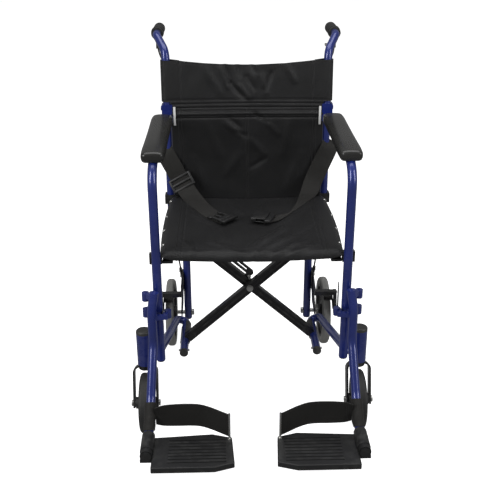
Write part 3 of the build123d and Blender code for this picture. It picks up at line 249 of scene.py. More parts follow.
def finish(name, dark, light, rough, grain_scale, grain_depth, worn=None, wear_amount=0.5,
           drift_scale=9.0, vector="Object", **shader_numbers):
    """A solid finish: two colours that drift, a fine grain, and edges that wear to another colour."""
    material = bpy.data.materials.new(name)
    material.use_nodes = True
    tree = material.node_tree
    shader = tree.nodes["Principled BSDF"]
    where = tree.nodes.new("ShaderNodeTexCoord").outputs[vector]
    drifting = place_group(tree, drift, where, Scale=drift_scale).outputs["Mask"]
    grained = place_group(tree, grain, where, Scale=grain_scale)
    colour = blended(tree, drifting, dark, light)
    roughness = mapped(tree, grained.outputs["Mask"], 0.0, 1.0, rough[0], rough[1])
    if worn:
        worn_edge = place_group(tree, wear, where, Amount=wear_amount).outputs["Mask"]
        colour = blended(tree, worn_edge, colour, worn)
        roughness = maths(tree, "ADD", roughness, maths(tree, "MULTIPLY", worn_edge, 0.15))
    tree.links.new(colour, shader.inputs["Base Color"])
    tree.links.new(roughness, shader.inputs["Roughness"])
    bump = tree.nodes.new("ShaderNodeBump")
    bump.inputs["Strength"].default_value = 0.35
    bump.inputs["Distance"].default_value = grain_depth
    tree.links.new(grained.outputs["Height"], bump.inputs["Height"])
    tree.links.new(bump.outputs["Normal"], shader.inputs["Normal"])
    for socket_name, number in shader_numbers.items():
        shader.inputs[socket_name.replace("_", " ")].default_value = number
    finishes[name] = material
    return material


# %% [markdown]
# ## Finishes
# The frame is a metallic blue enamel under a clear coat. The cross brace, forks
# and brakes are black powder coat, which has an orange-peel skin. The moulded
# parts are satin nylon plastic, the arm pads are self-skinned foam, and the bolts
# are bright zinc. Edges rub first, so the wear mask lifts the colour there.

# %% Paint, metal and plastic
finish("blue_paint", (0.009, 0.020, 0.15), (0.015, 0.031, 0.23), (0.26, 0.38), 2600, 0.00006,
       worn=(0.05, 0.06, 0.2), wear_amount=0.3, Metallic=0.25, Coat_Weight=0.8, Coat_Roughness=0.07)
finish("black_metal", (0.006, 0.006, 0.007), (0.011, 0.011, 0.012), (0.26, 0.4), 1300, 0.00012,
       worn=(0.06, 0.058, 0.055), wear_amount=0.5, Metallic=0.2, Coat_Weight=0.4, Coat_Roughness=0.18)
finish("grey_plastic", (0.028, 0.028, 0.028), (0.042, 0.042, 0.041), (0.42, 0.56), 1500, 0.0001,
       worn=(0.11, 0.11, 0.105), wear_amount=0.4)
finish("black_plastic", (0.007, 0.007, 0.008), (0.013, 0.013, 0.013), (0.4, 0.55), 1500, 0.0001,
       worn=(0.05, 0.05, 0.048), wear_amount=0.4)
finish("plate_plastic", (0.007, 0.007, 0.0075), (0.014, 0.014, 0.0145), (0.4, 0.56), 1100, 0.00018,
       worn=(0.06, 0.06, 0.058), wear_amount=0.5)
finish("rim_plastic", (0.012, 0.012, 0.013), (0.02, 0.02, 0.021), (0.4, 0.54), 1300, 0.0001,
       worn=(0.06, 0.06, 0.06), wear_amount=0.4)
finish("pad_skin", (0.014, 0.0138, 0.013), (0.024, 0.0235, 0.022), (0.2, 0.3), 700, 0.00022,
       worn=(0.05, 0.05, 0.048), wear_amount=0.3)
finish("grip_rubber", (0.008, 0.008, 0.008), (0.014, 0.014, 0.014), (0.5, 0.66), 1600, 0.00015,
       worn=(0.04, 0.04, 0.04), wear_amount=0.3)
finish("cable_sheath", (0.006, 0.006, 0.006), (0.011, 0.011, 0.011), (0.34, 0.46), 1800, 0.00008,
       worn=(0.03, 0.03, 0.03), wear_amount=0.3)
finish("zinc", (0.5, 0.5, 0.49), (0.66, 0.66, 0.64), (0.24, 0.36), 2200, 0.00005,
       worn=(0.34, 0.33, 0.31), wear_amount=0.4, Metallic=0.95)
finish("lever_metal", (0.6, 0.6, 0.6), (0.74, 0.74, 0.74), (0.16, 0.28), 2400, 0.00004,
       worn=(0.45, 0.45, 0.45), wear_amount=0.3, Metallic=0.9)
finish("grey_tyre", (0.2, 0.2, 0.19), (0.27, 0.268, 0.255), (0.62, 0.8), 900, 0.0002,
       worn=(0.14, 0.135, 0.125), wear_amount=0.6)
finish("dark_tyre", (0.018, 0.018, 0.018), (0.032, 0.032, 0.031), (0.55, 0.75), 900, 0.0002,
       worn=(0.07, 0.07, 0.068), wear_amount=0.6)
print("finishes", sorted(finishes))

# %% [markdown]
# ## Cloth and webbing
# The slings are a dense black nylon with a calendered face, so they keep a low
# sheen over a fine plain weave. The belt and heel loops are polypropylene webbing
# with a coarse rib across it. Both weaves are set out in flat metres on the
# piece's own UV map, so that they follow every wrap and fold.

# %% Cloth maker
def cloth_finish(name, dark, light, rough, threads, lengthen, depth, sheen):
    material = bpy.data.materials.new(name)
    material.use_nodes = True
    tree = material.node_tree
    shader = tree.nodes["Principled BSDF"]
    flat = tree.nodes.new("ShaderNodeTexCoord").outputs["UV"]
    solid = tree.nodes.new("ShaderNodeTexCoord").outputs["Object"]
    woven = place_group(tree, weave, flat, Threads=threads, Long=lengthen)
    drifting = place_group(tree, drift, solid, Scale=14.0).outputs["Mask"]
    fuzz = place_group(tree, grain, solid, Scale=2200.0)
    # Painted shade: the weave's hollows are coloured at 0.45 of the dark tone, standing in for shade between
    # the threads.
    weave_hollow_shade = tuple(0.45 * c for c in dark)
    colour = blended(tree, woven.outputs["Mask"], weave_hollow_shade, blended(tree, drifting, dark, light))
    tree.links.new(colour, shader.inputs["Base Color"])
    roughness = mapped(tree, fuzz.outputs["Mask"], 0.0, 1.0, rough[0], rough[1])
    tree.links.new(roughness, shader.inputs["Roughness"])
    shader.inputs["Sheen Weight"].default_value = sheen
    shader.inputs["Sheen Roughness"].default_value = 0.4
    shader.inputs["Specular IOR Level"].default_value = 0.35
    height = maths(tree, "ADD", woven.outputs["Height"], maths(tree, "MULTIPLY", fuzz.outputs["Height"], 0.5))
    bump = tree.nodes.new("ShaderNodeBump")
    bump.inputs["Strength"].default_value = 0.5
    bump.inputs["Distance"].default_value = depth
    tree.links.new(height, bump.inputs["Height"])
    tree.links.new(bump.outputs["Normal"], shader.inputs["Normal"])
    finishes[name] = material


cloth_finish("nylon", (0.009, 0.009, 0.0095), (0.014, 0.014, 0.0148), (0.40, 0.54), 1300, 1.0, 0.00022, 0.03)
cloth_finish("webbing", (0.014, 0.013, 0.0115), (0.02, 0.019, 0.017), (0.6, 0.75), 700, 0.6, 0.0005, 0.05)
finish("thread", (0.016, 0.016, 0.017), (0.03, 0.03, 0.031), (0.45, 0.6), 3000, 0.00005)
finish("white_tab", (0.72, 0.72, 0.7), (0.8, 0.8, 0.78), (0.6, 0.75), 2400, 0.0001)

# %% Dress the CAD nodes
node_slots = {row["node"]: row["material_slot"] for row in frame["record"]["subparts"]}
for node_name, node in nodes.items():
    for slot in node.material_slots:
        slot.link = "OBJECT"
        slot.material = finishes[node_slots[node_name]]
print("dressed", len(node_slots), "nodes")

# %% [markdown]
# ## How cloth is set out
# A sling is cut flat and then wrapped, so each sheet starts as a flat grid. Its
# columns and rows stand at flat measures, closer together at seams and wraps, and
# a small function says where each flat point ends up on the chair. Creases are
# narrow ridges drawn along lines, as a hand would press them in.

# %% Sheet helpers
def stations(low, high, step, *close):
    """Flat measures from low to high about step apart, with extra ones near each close value."""
    count = max(2, round((high - low) / step))
    marks = {round(low + (high - low) * i / count, 6) for i in range(count + 1)}
    for value in close:
        for nudge in (-0.003, -0.0015, 0.0, 0.0015, 0.003):
            if low < value + nudge < high:
                marks.add(round(value + nudge, 6))
    return sorted(marks)


def crease(x, y, lines):
    """Height of the creases at a flat point. Each line is (x1, y1, x2, y2, half width, height)."""
    total = 0.0
    for x1, y1, x2, y2, width, height in lines:
        dx, dy = x2 - x1, y2 - y1
        t = ((x - x1) * dx + (y - y1) * dy) / (dx * dx + dy * dy)
        if -0.3 < t < 1.3:
            inside = min(max(t, 0.0), 1.0)
            fade = math.sin(math.pi * (t + 0.3) / 1.6) ** 0.8
            away = math.hypot(x - x1 - inside * dx, y - y1 - inside * dy) / width
            total += height * fade * math.exp(-away * away)
    return total


def unrest(x, y, scale, height, seed=0.0):
    """Slow uneven ripple of slack cloth."""
    return height * noise.noise(Vector((x * scale, y * scale, seed)))


def lay_cloth(name, columns, rows, place, thick, finish_name="nylon"):
    """A sheet from a flat grid: place(across, along) gives each point, then the cloth gets its thickness."""
    deselect()
    bpy.ops.mesh.primitive_grid_add(x_subdivisions=len(columns) - 1, y_subdivisions=len(rows) - 1, size=1)
    piece = bpy.context.object
    piece.name = piece.data.name = name
    mesh = piece.data
    flat = []
    for vertex in mesh.vertices:
        i = round((vertex.co.x + 0.5) * (len(columns) - 1))
        j = round((vertex.co.y + 0.5) * (len(rows) - 1))
        flat.append((columns[i], rows[j]))
    for vertex, (across, along) in zip(mesh.vertices, flat):
        vertex.co = place(across, along)
    chart = mesh.uv_layers.active or mesh.uv_layers.new(name="UVMap")
    for loop in mesh.loops:
        chart.data[loop.index].uv = flat[loop.vertex_index]
    mesh.update()
    wall = piece.modifiers.new("wall", "SOLIDIFY")
    wall.thickness, wall.offset = thick, 0.0
    bpy.ops.object.modifier_apply(modifier=wall.name)
    bpy.ops.object.shade_smooth_by_angle(angle=math.radians(50))
    mesh.materials.append(finishes[finish_name])
    print(name, "faces", len(mesh.polygons))
    return piece


def surface_step(place, across, along, step=0.0008):
    """A point on a laid sheet, with the directions across, along and out of it."""
    here = Vector(place(across, along))
    right = (Vector(place(across + step, along)) - Vector(place(across - step, along))).normalized()
    ahead = (Vector(place(across, along + step)) - Vector(place(across, along - step))).normalized()
    return here, right, ahead, right.cross(ahead).normalized()


# %% Stitches
def one_stitch():
    """One thread stitch, 1 m long and wide until it is scaled: a six-sided bar with drawn-in ends."""
    deselect()
    bpy.ops.mesh.primitive_cylinder_add(vertices=6, radius=0.5, depth=1.0)
    bar = bpy.context.object
    bpy.ops.object.mode_set(mode="EDIT")
    bpy.ops.mesh.select_all(action="SELECT")
    bpy.ops.mesh.bisect(plane_co=(0, 0, 0.25), plane_no=(0, 0, 1))
    bpy.ops.mesh.select_all(action="SELECT")
    bpy.ops.mesh.bisect(plane_co=(0, 0, -0.25), plane_no=(0, 0, 1))
    bpy.ops.object.mode_set(mode="OBJECT")
    for vertex in bar.data.vertices:
        if abs(vertex.co.z) > 0.4:
            vertex.co.x *= 0.35
            vertex.co.y = vertex.co.y * 0.35 - 0.3
    shape = ([v.co.copy() for v in bar.data.vertices], [tuple(p.vertices) for p in bar.data.polygons])
    bpy.data.objects.remove(bar)
    return shape


STITCH_POINTS, STITCH_FACES = one_stitch()


def stitch_rows(name, place, rows, lift, pitch=0.0042, long=0.0031, thread=0.0009, finish_name="thread"):
    """Rows of stitches on a laid sheet. Each row is a list of flat points that the thread follows."""
    points, faces = [], []
    for row in rows:
        for (a1, b1), (a2, b2) in zip(row, row[1:]):
            length = math.hypot(a2 - a1, b2 - b1)
            count = max(1, int(length / pitch))
            for k in range(count):
                t = (k + 0.5) / count
                here, right, ahead, out = surface_step(place, a1 + t * (a2 - a1), b1 + t * (b2 - b1))
                run = (right * (a2 - a1) + ahead * (b2 - b1)).normalized()
                out = out if lift > 0 else -out
                side = run.cross(out)
                start = len(points)
                centre = here + out * abs(lift)
                points += [centre + side * (p.x * thread) + out * (p.y * thread) + run * (p.z * long)
                           for p in STITCH_POINTS]
                faces += [tuple(start + n for n in face) for face in STITCH_FACES]
    mesh = bpy.data.meshes.new(name)
    mesh.from_pydata(points, [], faces)
    mesh.update()
    piece = bpy.data.objects.new(name, mesh)
    scene.collection.objects.link(piece)
    face_out(piece)
    mesh.materials.append(finishes[finish_name])
    print(name, "stitches", len(faces) // len(STITCH_FACES))
    return piece


def face_out(piece):
    """Turns every face of a closed shape outwards."""
    work = bmesh.new()
    work.from_mesh(piece.data)
    bmesh.ops.recalc_face_normals(work, faces=work.faces)
    work.to_mesh(piece.data)
    work.free()


# %% [markdown]
# ## Seat sling
# One piece of cloth runs between the two seat rails, wraps over each and is
# screwed down through a hem. It sags a little in the middle, and the front edge
# is turned down in a piped hem. Sewing makes a flat strip inside each rail.

# %% Seat sling
RAIL_X, RAIL_Z, RAIL_WRAP = 0.203, 0.470, 0.0146
SLING_FRONT, SLING_BACK = -0.171, 0.206
SLING_THICK = 0.0028
HALF_SPAN = RAIL_X                       # flat measure from the middle to the top of the rail
SLING_EDGE = HALF_SPAN + RAIL_WRAP * math.pi / 2 + 0.009
SEAT_SEAM = 0.181
SLING_BULGE = 0.0065                     # the edge bows out this far halfway along the rail
HEM_ROLL = 0.024                         # this much of the front rolls down as the hem
sling_creases = [
    (0.000, -0.135, 0.090, -0.010, 0.010, 0.0044), (0.020, -0.155, 0.100, -0.070, 0.008, 0.0036),
    (0.055, -0.160, 0.130, -0.105, 0.007, 0.0034), (0.085, -0.165, 0.155, -0.130, 0.006, 0.0026),
    (-0.030, -0.160, -0.100, -0.100, 0.010, 0.0026), (-0.060, -0.100, -0.075, -0.020, 0.014, 0.0022),
    (-0.160, 0.100, -0.100, 0.020, 0.012, 0.0020), (0.160, 0.120, 0.090, 0.030, 0.012, 0.0020),
    (0.000, -0.166, 0.015, -0.120, 0.006, 0.0024), (-0.060, 0.185, -0.020, 0.100, 0.010, 0.0016),
    (0.050, 0.190, 0.030, 0.120, 0.010, 0.0016), (-0.140, -0.160, -0.168, -0.100, 0.008, 0.0022),
    (0.120, -0.060, 0.165, -0.010, 0.010, -0.0022), (-0.120, -0.150, -0.060, -0.140, 0.006, 0.0020),
]


def sling_point(across, along):
    side = -1 if across < 0 else 1
    flat = abs(across)
    turn = min(max((flat - HALF_SPAN) / RAIL_WRAP, 0.0), math.pi / 2)
    x = side * (min(flat, HALF_SPAN) + RAIL_WRAP * math.sin(turn))
    length = (along - SLING_FRONT) / (SLING_BACK - SLING_FRONT)
    near_edge = min(1.0, max(0.0, (flat - 0.185) / 0.022))
    x += side * SLING_BULGE * math.sin(math.pi * length) * near_edge
    z = RAIL_Z + RAIL_WRAP * math.cos(turn) - max(flat - HALF_SPAN - RAIL_WRAP * math.pi / 2, 0.0)
    span = min(flat / 0.187, 1.0)
    slack = 1 - span * span
    sag = 0.0075 * slack * (0.75 + 0.25 * math.cos(math.pi * (length - 0.35)))
    z -= sag
    if flat < HALF_SPAN:
        ease = min(1.0, (HALF_SPAN - flat) / 0.03)
        z += ease * (1.3 * crease(across, along, sling_creases) + unrest(across, along, 17, 0.0011, 3.0))
        for seam in (SEAT_SEAM, SEAT_SEAM - 0.012):
            z -= 0.0007 * math.exp(-((flat - seam) / 0.0016) ** 2)
    y = along
    corner = max(0.0, 1 - (along - SLING_FRONT) / 0.045) ** 2 * min(1.0, max(0.0, (flat - 0.196) / 0.02))
    z += corner * 0.7 * (RAIL_Z + RAIL_WRAP - 0.003 - z)
    dip = max(0.0, HEM_ROLL - (along - SLING_FRONT))
    if dip:
        roll = dip / HEM_ROLL * math.pi / 2
        deep = 0.019 - 0.015 * min(1.0, max(0.0, (flat - 0.188) / 0.034)) ** 1.5
        z -= deep * (1 - math.cos(roll))
        y = SLING_FRONT + 0.012 * (1 - math.sin(roll))
    return (x, y, z)


sling_columns = stations(-SLING_EDGE, SLING_EDGE, 0.0048, -SEAT_SEAM, SEAT_SEAM, -SEAT_SEAM + 0.012,
                         SEAT_SEAM - 0.012)
sling_rows = stations(SLING_FRONT, SLING_BACK, 0.0048, SLING_FRONT + 0.003, SLING_FRONT + 0.010,
                      SLING_FRONT + 0.017)
sling = lay_cloth("seat_cloth", sling_columns, sling_rows, sling_point, SLING_THICK)
seam_rows = [[(s * across, SLING_FRONT + 0.004), (s * across, SLING_BACK - 0.003)]
             for s in (-1, 1) for across in (SEAT_SEAM + 0.003, SEAT_SEAM - 0.015)]
hem_rows = [[(-0.19, SLING_FRONT + 0.030), (0.19, SLING_FRONT + 0.030)],
            [(-0.19, SLING_BACK - 0.012), (0.19, SLING_BACK - 0.012)]]
sling_thread = stitch_rows("seat_stitching", sling_point, seam_rows + hem_rows, SLING_THICK / 2)

FOLD_X = (1.0, 0.0, 0.0)


def settle(piece, body, fold=None):
    """Rides a piece on its body, and with a fold, (joint, axis, anchor, keep), gives it its own mesh."""
    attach(piece, body)
    if fold:
        joint, axis, anchor, keep = fold
        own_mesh(piece)
        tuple(axis)
        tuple(anchor)
    return piece


seat_fold = ("frame_fold", FOLD_X, (-0.201, 0.0, 0.47), 0.352)
settle(sling, "seat", seat_fold)
settle(sling_thread, "seat", seat_fold)
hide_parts("seat_sling")

# %% [markdown]
# ## Upper back
# The upper back is a band with a sleeve at each end that slides over the cane.
# Its top edge hangs a little lower between the canes, and pressed-in folds fan
# down from the middle where the chair folds. Three piped seams cross its foot.

# %% Upper back
HINGE_Z, CANE_TOP_Z = 0.728, 0.878
CANE_X, CANE_Y, CANE_TOP_Y = 0.218, 0.253, 0.267
SLEEVE_LOW, BACK_TOP = 0.747, 0.856
SLEEVE_WRAP = 0.0135
BACK_SEAM = 0.178
back_creases = [
    (-0.062, 0.852, -0.046, 0.795, 0.0055, -0.0042), (-0.046, 0.795, -0.012, 0.757, 0.0060, -0.0042),
    (-0.072, 0.835, -0.052, 0.785, 0.0060, 0.0032), (-0.028, 0.850, -0.020, 0.812, 0.0050, -0.0032),
    (0.008, 0.852, 0.020, 0.822, 0.0050, -0.0034), (0.000, 0.812, 0.020, 0.778, 0.0060, -0.0030),
    (0.038, 0.815, 0.052, 0.768, 0.0070, 0.0030), (0.064, 0.822, 0.050, 0.775, 0.0060, -0.0030),
    (0.100, 0.850, 0.128, 0.800, 0.0080, 0.0022), (-0.115, 0.840, -0.075, 0.770, 0.0100, 0.0020),
    (0.020, 0.850, 0.010, 0.760, 0.0120, 0.0024), (-0.020, 0.790, 0.004, 0.756, 0.0055, 0.0028),
]


def cane_y(z):
    return CANE_Y + (CANE_TOP_Y - CANE_Y) * (z - HINGE_Z) / (CANE_TOP_Z - HINGE_Z)


SLEEVE_TURN = SLEEVE_WRAP * math.pi
SLEEVE_FLAP = CANE_X - BACK_SEAM
BACK_EDGE = CANE_X + SLEEVE_TURN + SLEEVE_FLAP - 0.004


def back_face(across, z):
    """Y of the front cloth of the upper back, with its bow, folds and seams."""
    slack = max(0.0, 1 - (across / 0.205) ** 2)
    y = cane_y(z) - SLEEVE_WRAP + 0.009 * slack
    flat = abs(across)
    if flat < BACK_SEAM:
        ease = min(1.0, (BACK_SEAM - flat) / 0.02)
        y -= ease * (1.5 * crease(across, z, back_creases) + unrest(across, z, 19, 0.0016, 7.0))
    y += 0.0009 * math.exp(-((flat - BACK_SEAM) / 0.0018) ** 2)
    for seam, deep in ((0.7300, 0.0016), (0.7405, 0.0012), (0.7505, 0.0014)):
        y += deep * math.exp(-((z - seam) / 0.0020) ** 2)
    return y


def upper_point(across, along):
    """along is the flat height, and the top edge dips between the canes."""
    side = -1 if across < 0 else 1
    flat = abs(across)
    dip = max(0.0, 1 - (min(flat, CANE_X) / 0.185) ** 2) * 0.0125
    share = (along - 0.729) / (BACK_TOP - 0.729)
    z = along - dip * max(0.0, share) ** 2
    if flat <= CANE_X:
        return (across, back_face(across, z), z)
    turn = min((flat - CANE_X) / SLEEVE_WRAP, math.pi)
    rest = max(0.0, flat - CANE_X - SLEEVE_TURN)
    x = CANE_X + SLEEVE_WRAP * math.sin(turn) - rest
    y = cane_y(z) - SLEEVE_WRAP * math.cos(turn)
    if rest:
        near = min(1.0, rest / (SLEEVE_FLAP - 0.004))
        y += (back_face(BACK_SEAM, z) + 0.0030 - y) * near ** 1.3
    return (side * x, y, z)


upper_columns = stations(-BACK_EDGE, BACK_EDGE, 0.0044, -BACK_SEAM, BACK_SEAM)
upper_rows = stations(SLEEVE_LOW, BACK_TOP, 0.0040)
upper_back = lay_cloth("upper_back_cloth", upper_columns, upper_rows, upper_point, 0.0024)
BAND_EDGE = 0.2065


def band_point(across, along):
    return (across, back_face(across, along) + 0.0004, along)


band_columns = stations(-BAND_EDGE, BAND_EDGE, 0.0044, -BACK_SEAM, BACK_SEAM)
band_rows = stations(0.7268, SLEEVE_LOW + 0.004, 0.0016)
back_band = lay_cloth("upper_back_foot", band_columns, band_rows, band_point, 0.0024)
sleeve_rows = [[(s * (BACK_SEAM + 0.003), SLEEVE_LOW + 0.002), (s * (BACK_SEAM + 0.003), BACK_TOP - 0.002)]
               for s in (-1, 1)]
edge_rows = [[(-0.20, BACK_TOP - 0.008), (0.20, BACK_TOP - 0.008)]]
upper_thread = stitch_rows("upper_back_stitching", upper_point, sleeve_rows + edge_rows, 0.0012)
back_fold = ("frame_fold", FOLD_X, (-CANE_X, 0.0, HINGE_Z), 0.466)
for piece in (upper_back, back_band, upper_thread):
    settle(piece, "right_back", back_fold)
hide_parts("upper_back")

# %% [markdown]
# ## Lower back
# The lower panel hangs between the posts from the hinge line to the seat. A seam
# runs down its middle, where it folds, with side seams near the posts.

# %% Lower back
LOWER_EDGE, LOWER_LOW, LOWER_TOP = 0.2065, 0.4630, 0.7290
LOWER_Y = 0.2405
lower_creases = [
    (-0.050, 0.700, -0.018, 0.672, 0.006, -0.0032), (-0.060, 0.688, -0.020, 0.655, 0.008, 0.0026),
    (-0.030, 0.664, -0.004, 0.650, 0.006, -0.0026), (0.020, 0.712, 0.055, 0.690, 0.006, -0.0030),
    (0.045, 0.700, 0.085, 0.655, 0.008, 0.0026), (0.010, 0.640, 0.045, 0.600, 0.009, 0.0018),
    (-0.110, 0.690, -0.080, 0.600, 0.014, 0.0020), (0.120, 0.700, 0.100, 0.600, 0.014, 0.0020),
    (0.010, 0.560, 0.050, 0.585, 0.006, -0.0022), (-0.020, 0.600, -0.060, 0.540, 0.012, 0.0018),
    (-0.150, 0.590, -0.120, 0.510, 0.012, 0.0018), (0.150, 0.600, 0.110, 0.500, 0.012, 0.0018),
]


def lower_point(across, along):
    slack = max(0.0, 1 - (across / 0.198) ** 2)
    y = LOWER_Y + 0.007 * slack * math.sin(math.pi * min(1.0, (LOWER_TOP - along + 0.12) / 0.36))
    flat = abs(across)
    ease = min(1.0, (LOWER_EDGE - flat) / 0.03)
    y -= ease * (1.4 * crease(across, along, lower_creases) + unrest(across, along, 15, 0.0020, 11.0))
    for seam in (0.0, 0.186, 0.178):
        y += 0.0010 * math.exp(-((flat - seam) / 0.0018) ** 2)
    for seam, deep in ((0.7235, 0.0014), (0.7130, -0.0018), (0.7020, 0.0018)):
        y += deep * math.exp(-((along - seam) / 0.0024) ** 2)
    y += 0.0026 * min(1.0, max(0.0, (along - 0.7250) / 0.003))
    return (across, y, along)


lower_columns = stations(-LOWER_EDGE, LOWER_EDGE, 0.0044, -0.186, -0.178, 0.0, 0.178, 0.186)
lower_rows = stations(LOWER_LOW, LOWER_TOP, 0.0046, 0.7255, 0.7130, 0.7020)
lower_back = lay_cloth("lower_back_cloth", lower_columns, lower_rows, lower_point, 0.0024)
lower_lines = [[(x, LOWER_LOW + 0.004), (x, 0.700)] for x in (-0.189, -0.004, 0.004, 0.189)]
lower_lines += [[(-0.185, z), (0.185, z)] for z in (0.7065, 0.6975)]
lower_thread = stitch_rows("lower_back_stitching", lower_point, lower_lines, 0.0012)
lower_fold = ("frame_fold", FOLD_X, (-0.203, 0.0, 0.6), 0.427)
for piece in (lower_back, lower_thread):
    settle(piece, "right_frame", lower_fold)
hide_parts("lower_back")

# %% [markdown]
# ## Webbing
# Webbing is flat and stiff across its width, so it is drawn as a ribbon along a
# few stations. Each station is a centre and the direction of the ribbon's width,
# and a smooth curve runs through them.

# %% Ribbon helper
def smooth_through(values, t):
    """Catmull-Rom curve through a list of vectors; t runs from 0 to the last index."""
    i = min(int(t), len(values) - 2)
    f = t - i
    before = values[i - 1] if i else values[0] * 2 - values[1]
    after = values[i + 2] if i + 2 < len(values) else values[-1] * 2 - values[-2]
    a, b = values[i], values[i + 1]
    return 0.5 * (2 * a + (b - before) * f + (2 * before - 5 * a + 4 * b - after) * f * f
                  + (3 * a - before - 3 * b + after) * f * f * f)


def ribbon_places(run):
    """A place function over flat (across, along) for a ribbon through stations, and its flat length."""
    centres = [Vector(c) for c, _ in run]
    widths = [Vector(w).normalized() for _, w in run]
    last = len(run) - 1
    marks, length = [0.0], 0.0
    steps = 40 * last
    spot = smooth_through(centres, 0)
    for k in range(1, steps + 1):
        after = smooth_through(centres, last * k / steps)
        length += (after - spot).length
        marks.append(length)
        spot = after

    def place(across, along):
        want = min(max(along, 0.0), length)
        k = next((n for n, mark in enumerate(marks) if mark >= want), steps)
        back = marks[k - 1] if k else 0.0
        share = (want - back) / max(marks[k] - back, 1e-9) if k else 0.0
        t = last * (max(k - 1, 0) + share) / steps
        return tuple(smooth_through(centres, t) + smooth_through(widths, t).normalized() * across)

    return place, length


def webbing(name, run, width, thick):
    place, length = ribbon_places(run)
    columns = [width * (c - 0.5) for c in (0, 0.04, 0.2, 0.35, 0.5, 0.65, 0.8, 0.96, 1)]
    rows = stations(0.0, length, 0.006)
    piece = lay_cloth(name, columns, rows, place, thick, "webbing")
    return piece, place, length


# %% Small moulded blocks
def block(name, low, high, round_by, finish_name, segments=3, shape=None):
    """A box between two corners with every edge rounded; shape may move its corners first."""
    deselect()
    bpy.ops.mesh.primitive_cube_add(size=1)
    piece = bpy.context.object
    piece.name = piece.data.name = name
    for vertex in piece.data.vertices:
        spot = [low[i] if vertex.co[i] < 0 else high[i] for i in range(3)]
        vertex.co = shape(spot) if shape else spot
    soften = piece.modifiers.new("rounded", "BEVEL")
    soften.width, soften.segments = round_by, segments
    bpy.ops.object.modifier_apply(modifier=soften.name)
    bpy.ops.object.shade_smooth_by_angle(angle=math.radians(40))
    piece.data.materials.append(finishes[finish_name])
    return piece


def move_all(piece, matrix):
    piece.data.transform(matrix)
    piece.data.update()
    return piece


def join_as(name, pieces):
    deselect()
    for piece in pieces:
        piece.select_set(True)
    bpy.context.view_layer.objects.active = pieces[0]
    bpy.ops.object.join()
    pieces[0].name = pieces[0].data.name = name
    return pieces[0]


def turned(name, rings, centre, axis, finish_name, sides=40):
    """A turned shape: a ring extruded and resized from station to station, (distance, radius), and closed."""
    deselect()
    along = Vector(axis).normalized()
    turn = along.to_track_quat("Z", "Y").to_euler()
    first, radius = rings[0]
    bpy.ops.mesh.primitive_circle_add(vertices=sides, radius=radius, fill_type="TRIFAN",
                                      location=Vector(centre) + along * first, rotation=turn)
    piece = bpy.context.object
    piece.name = piece.data.name = name
    bpy.ops.object.transform_apply(location=True, rotation=True, scale=True)
    bpy.ops.object.mode_set(mode="EDIT")
    bpy.ops.mesh.select_all(action="SELECT")
    for (distance, radius), (before, old) in zip(rings[1:], rings):
        bpy.ops.mesh.extrude_region_move(
            TRANSFORM_OT_translate={"value": along * (distance - before)})
        bpy.ops.transform.resize(value=(radius / old,) * 3,
                                 center_override=Vector(centre) + along * distance)
    bpy.ops.mesh.select_all(action="SELECT")
    bpy.ops.mesh.normals_make_consistent(inside=False)
    bpy.ops.object.mode_set(mode="OBJECT")
    bpy.ops.object.shade_smooth_by_angle(angle=math.radians(35))
    piece.data.materials.append(finishes[finish_name])
    return piece


# %% Seat screws
SCREW_YS = (-0.119, -0.027, 0.066, 0.184)
SCREW_LEAN = math.radians(38)


def seat_screw(side, y):
    """A pan head with a washer, standing square on the shoulder of the rail."""
    out = Vector((side * math.sin(SCREW_LEAN), 0, math.cos(SCREW_LEAN)))
    foot = Vector(sling_point(side * (HALF_SPAN + RAIL_WRAP * SCREW_LEAN), y)) + out * (SLING_THICK / 2)
    rings = [(0.0, 0.0052), (0.0006, 0.0052), (0.0007, 0.0036), (0.0018, 0.0034), (0.0024, 0.0026),
             (0.0027, 0.0012)]
    return turned("seat_screw", rings, foot, out, "zinc", sides=24)


screws = join_as("seat_screw_heads", [seat_screw(side, y) for side in (-1, 1) for y in SCREW_YS])
settle(screws, "seat", seat_fold)
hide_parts("seat_screws")

# %% [markdown]
# ## Lap belt
# Each half is sewn round its post, comes forward over the back panel and lies on
# the seat, where its half of the side-release buckle rests unfastened. The half on
# the sitter's right also has a ladder adjuster.

# %% Lap belt runs
BELT_WIDTH, BELT_THICK = 0.050, 0.0022
belt_runs = {
    "right": [((-0.2335, 0.2560, 0.622), (0.86, 0.0, 0.50)), ((-0.2265, 0.2380, 0.604), (0.86, 0.1, 0.50)),
              ((-0.2060, 0.2300, 0.566), (0.87, 0.1, 0.48)), ((-0.1830, 0.2220, 0.524), (0.88, 0.1, 0.46)),
              ((-0.1560, 0.1900, 0.4930), (0.92, 0.25, 0.25)), ((-0.1300, 0.1420, 0.4845), (0.92, 0.38, 0.0)),
              ((-0.0980, 0.0800, 0.4830), (0.88, 0.46, 0.0)), ((-0.0580, 0.0330, 0.4835), (0.62, 0.78, 0.0))],
    "left": [((0.2335, 0.2560, 0.634), (0.88, 0.0, -0.47)), ((0.2265, 0.2380, 0.616), (0.88, 0.1, -0.47)),
             ((0.2060, 0.2300, 0.574), (0.90, -0.1, -0.42)), ((0.1850, 0.2220, 0.528), (0.94, -0.1, -0.33)),
             ((0.1680, 0.1960, 0.4945), (0.97, 0.20, -0.1)), ((0.1450, 0.1500, 0.4850), (0.78, 0.62, 0.0)),
             ((0.0980, 0.0660, 0.4835), (0.46, 0.88, 0.0)), ((0.0430, 0.0330, 0.4835), (0.30, 0.95, 0.0))],
}
belts = {}
for side_name, run in belt_runs.items():
    belt, place, length = webbing(f"{side_name}_belt_webbing", run, BELT_WIDTH, BELT_THICK)
    box_end = [(-0.019, length - 0.004), (0.019, length - 0.004), (0.019, length - 0.036),
               (-0.019, length - 0.036), (-0.019, length - 0.004), (0.019, length - 0.036),
               (0.019, length - 0.004), (-0.019, length - 0.036)]
    thread = stitch_rows(f"{side_name}_belt_stitching", place, [box_end], BELT_THICK / 2, thread=0.0008)
    belts[side_name] = (belt, thread, place, length)

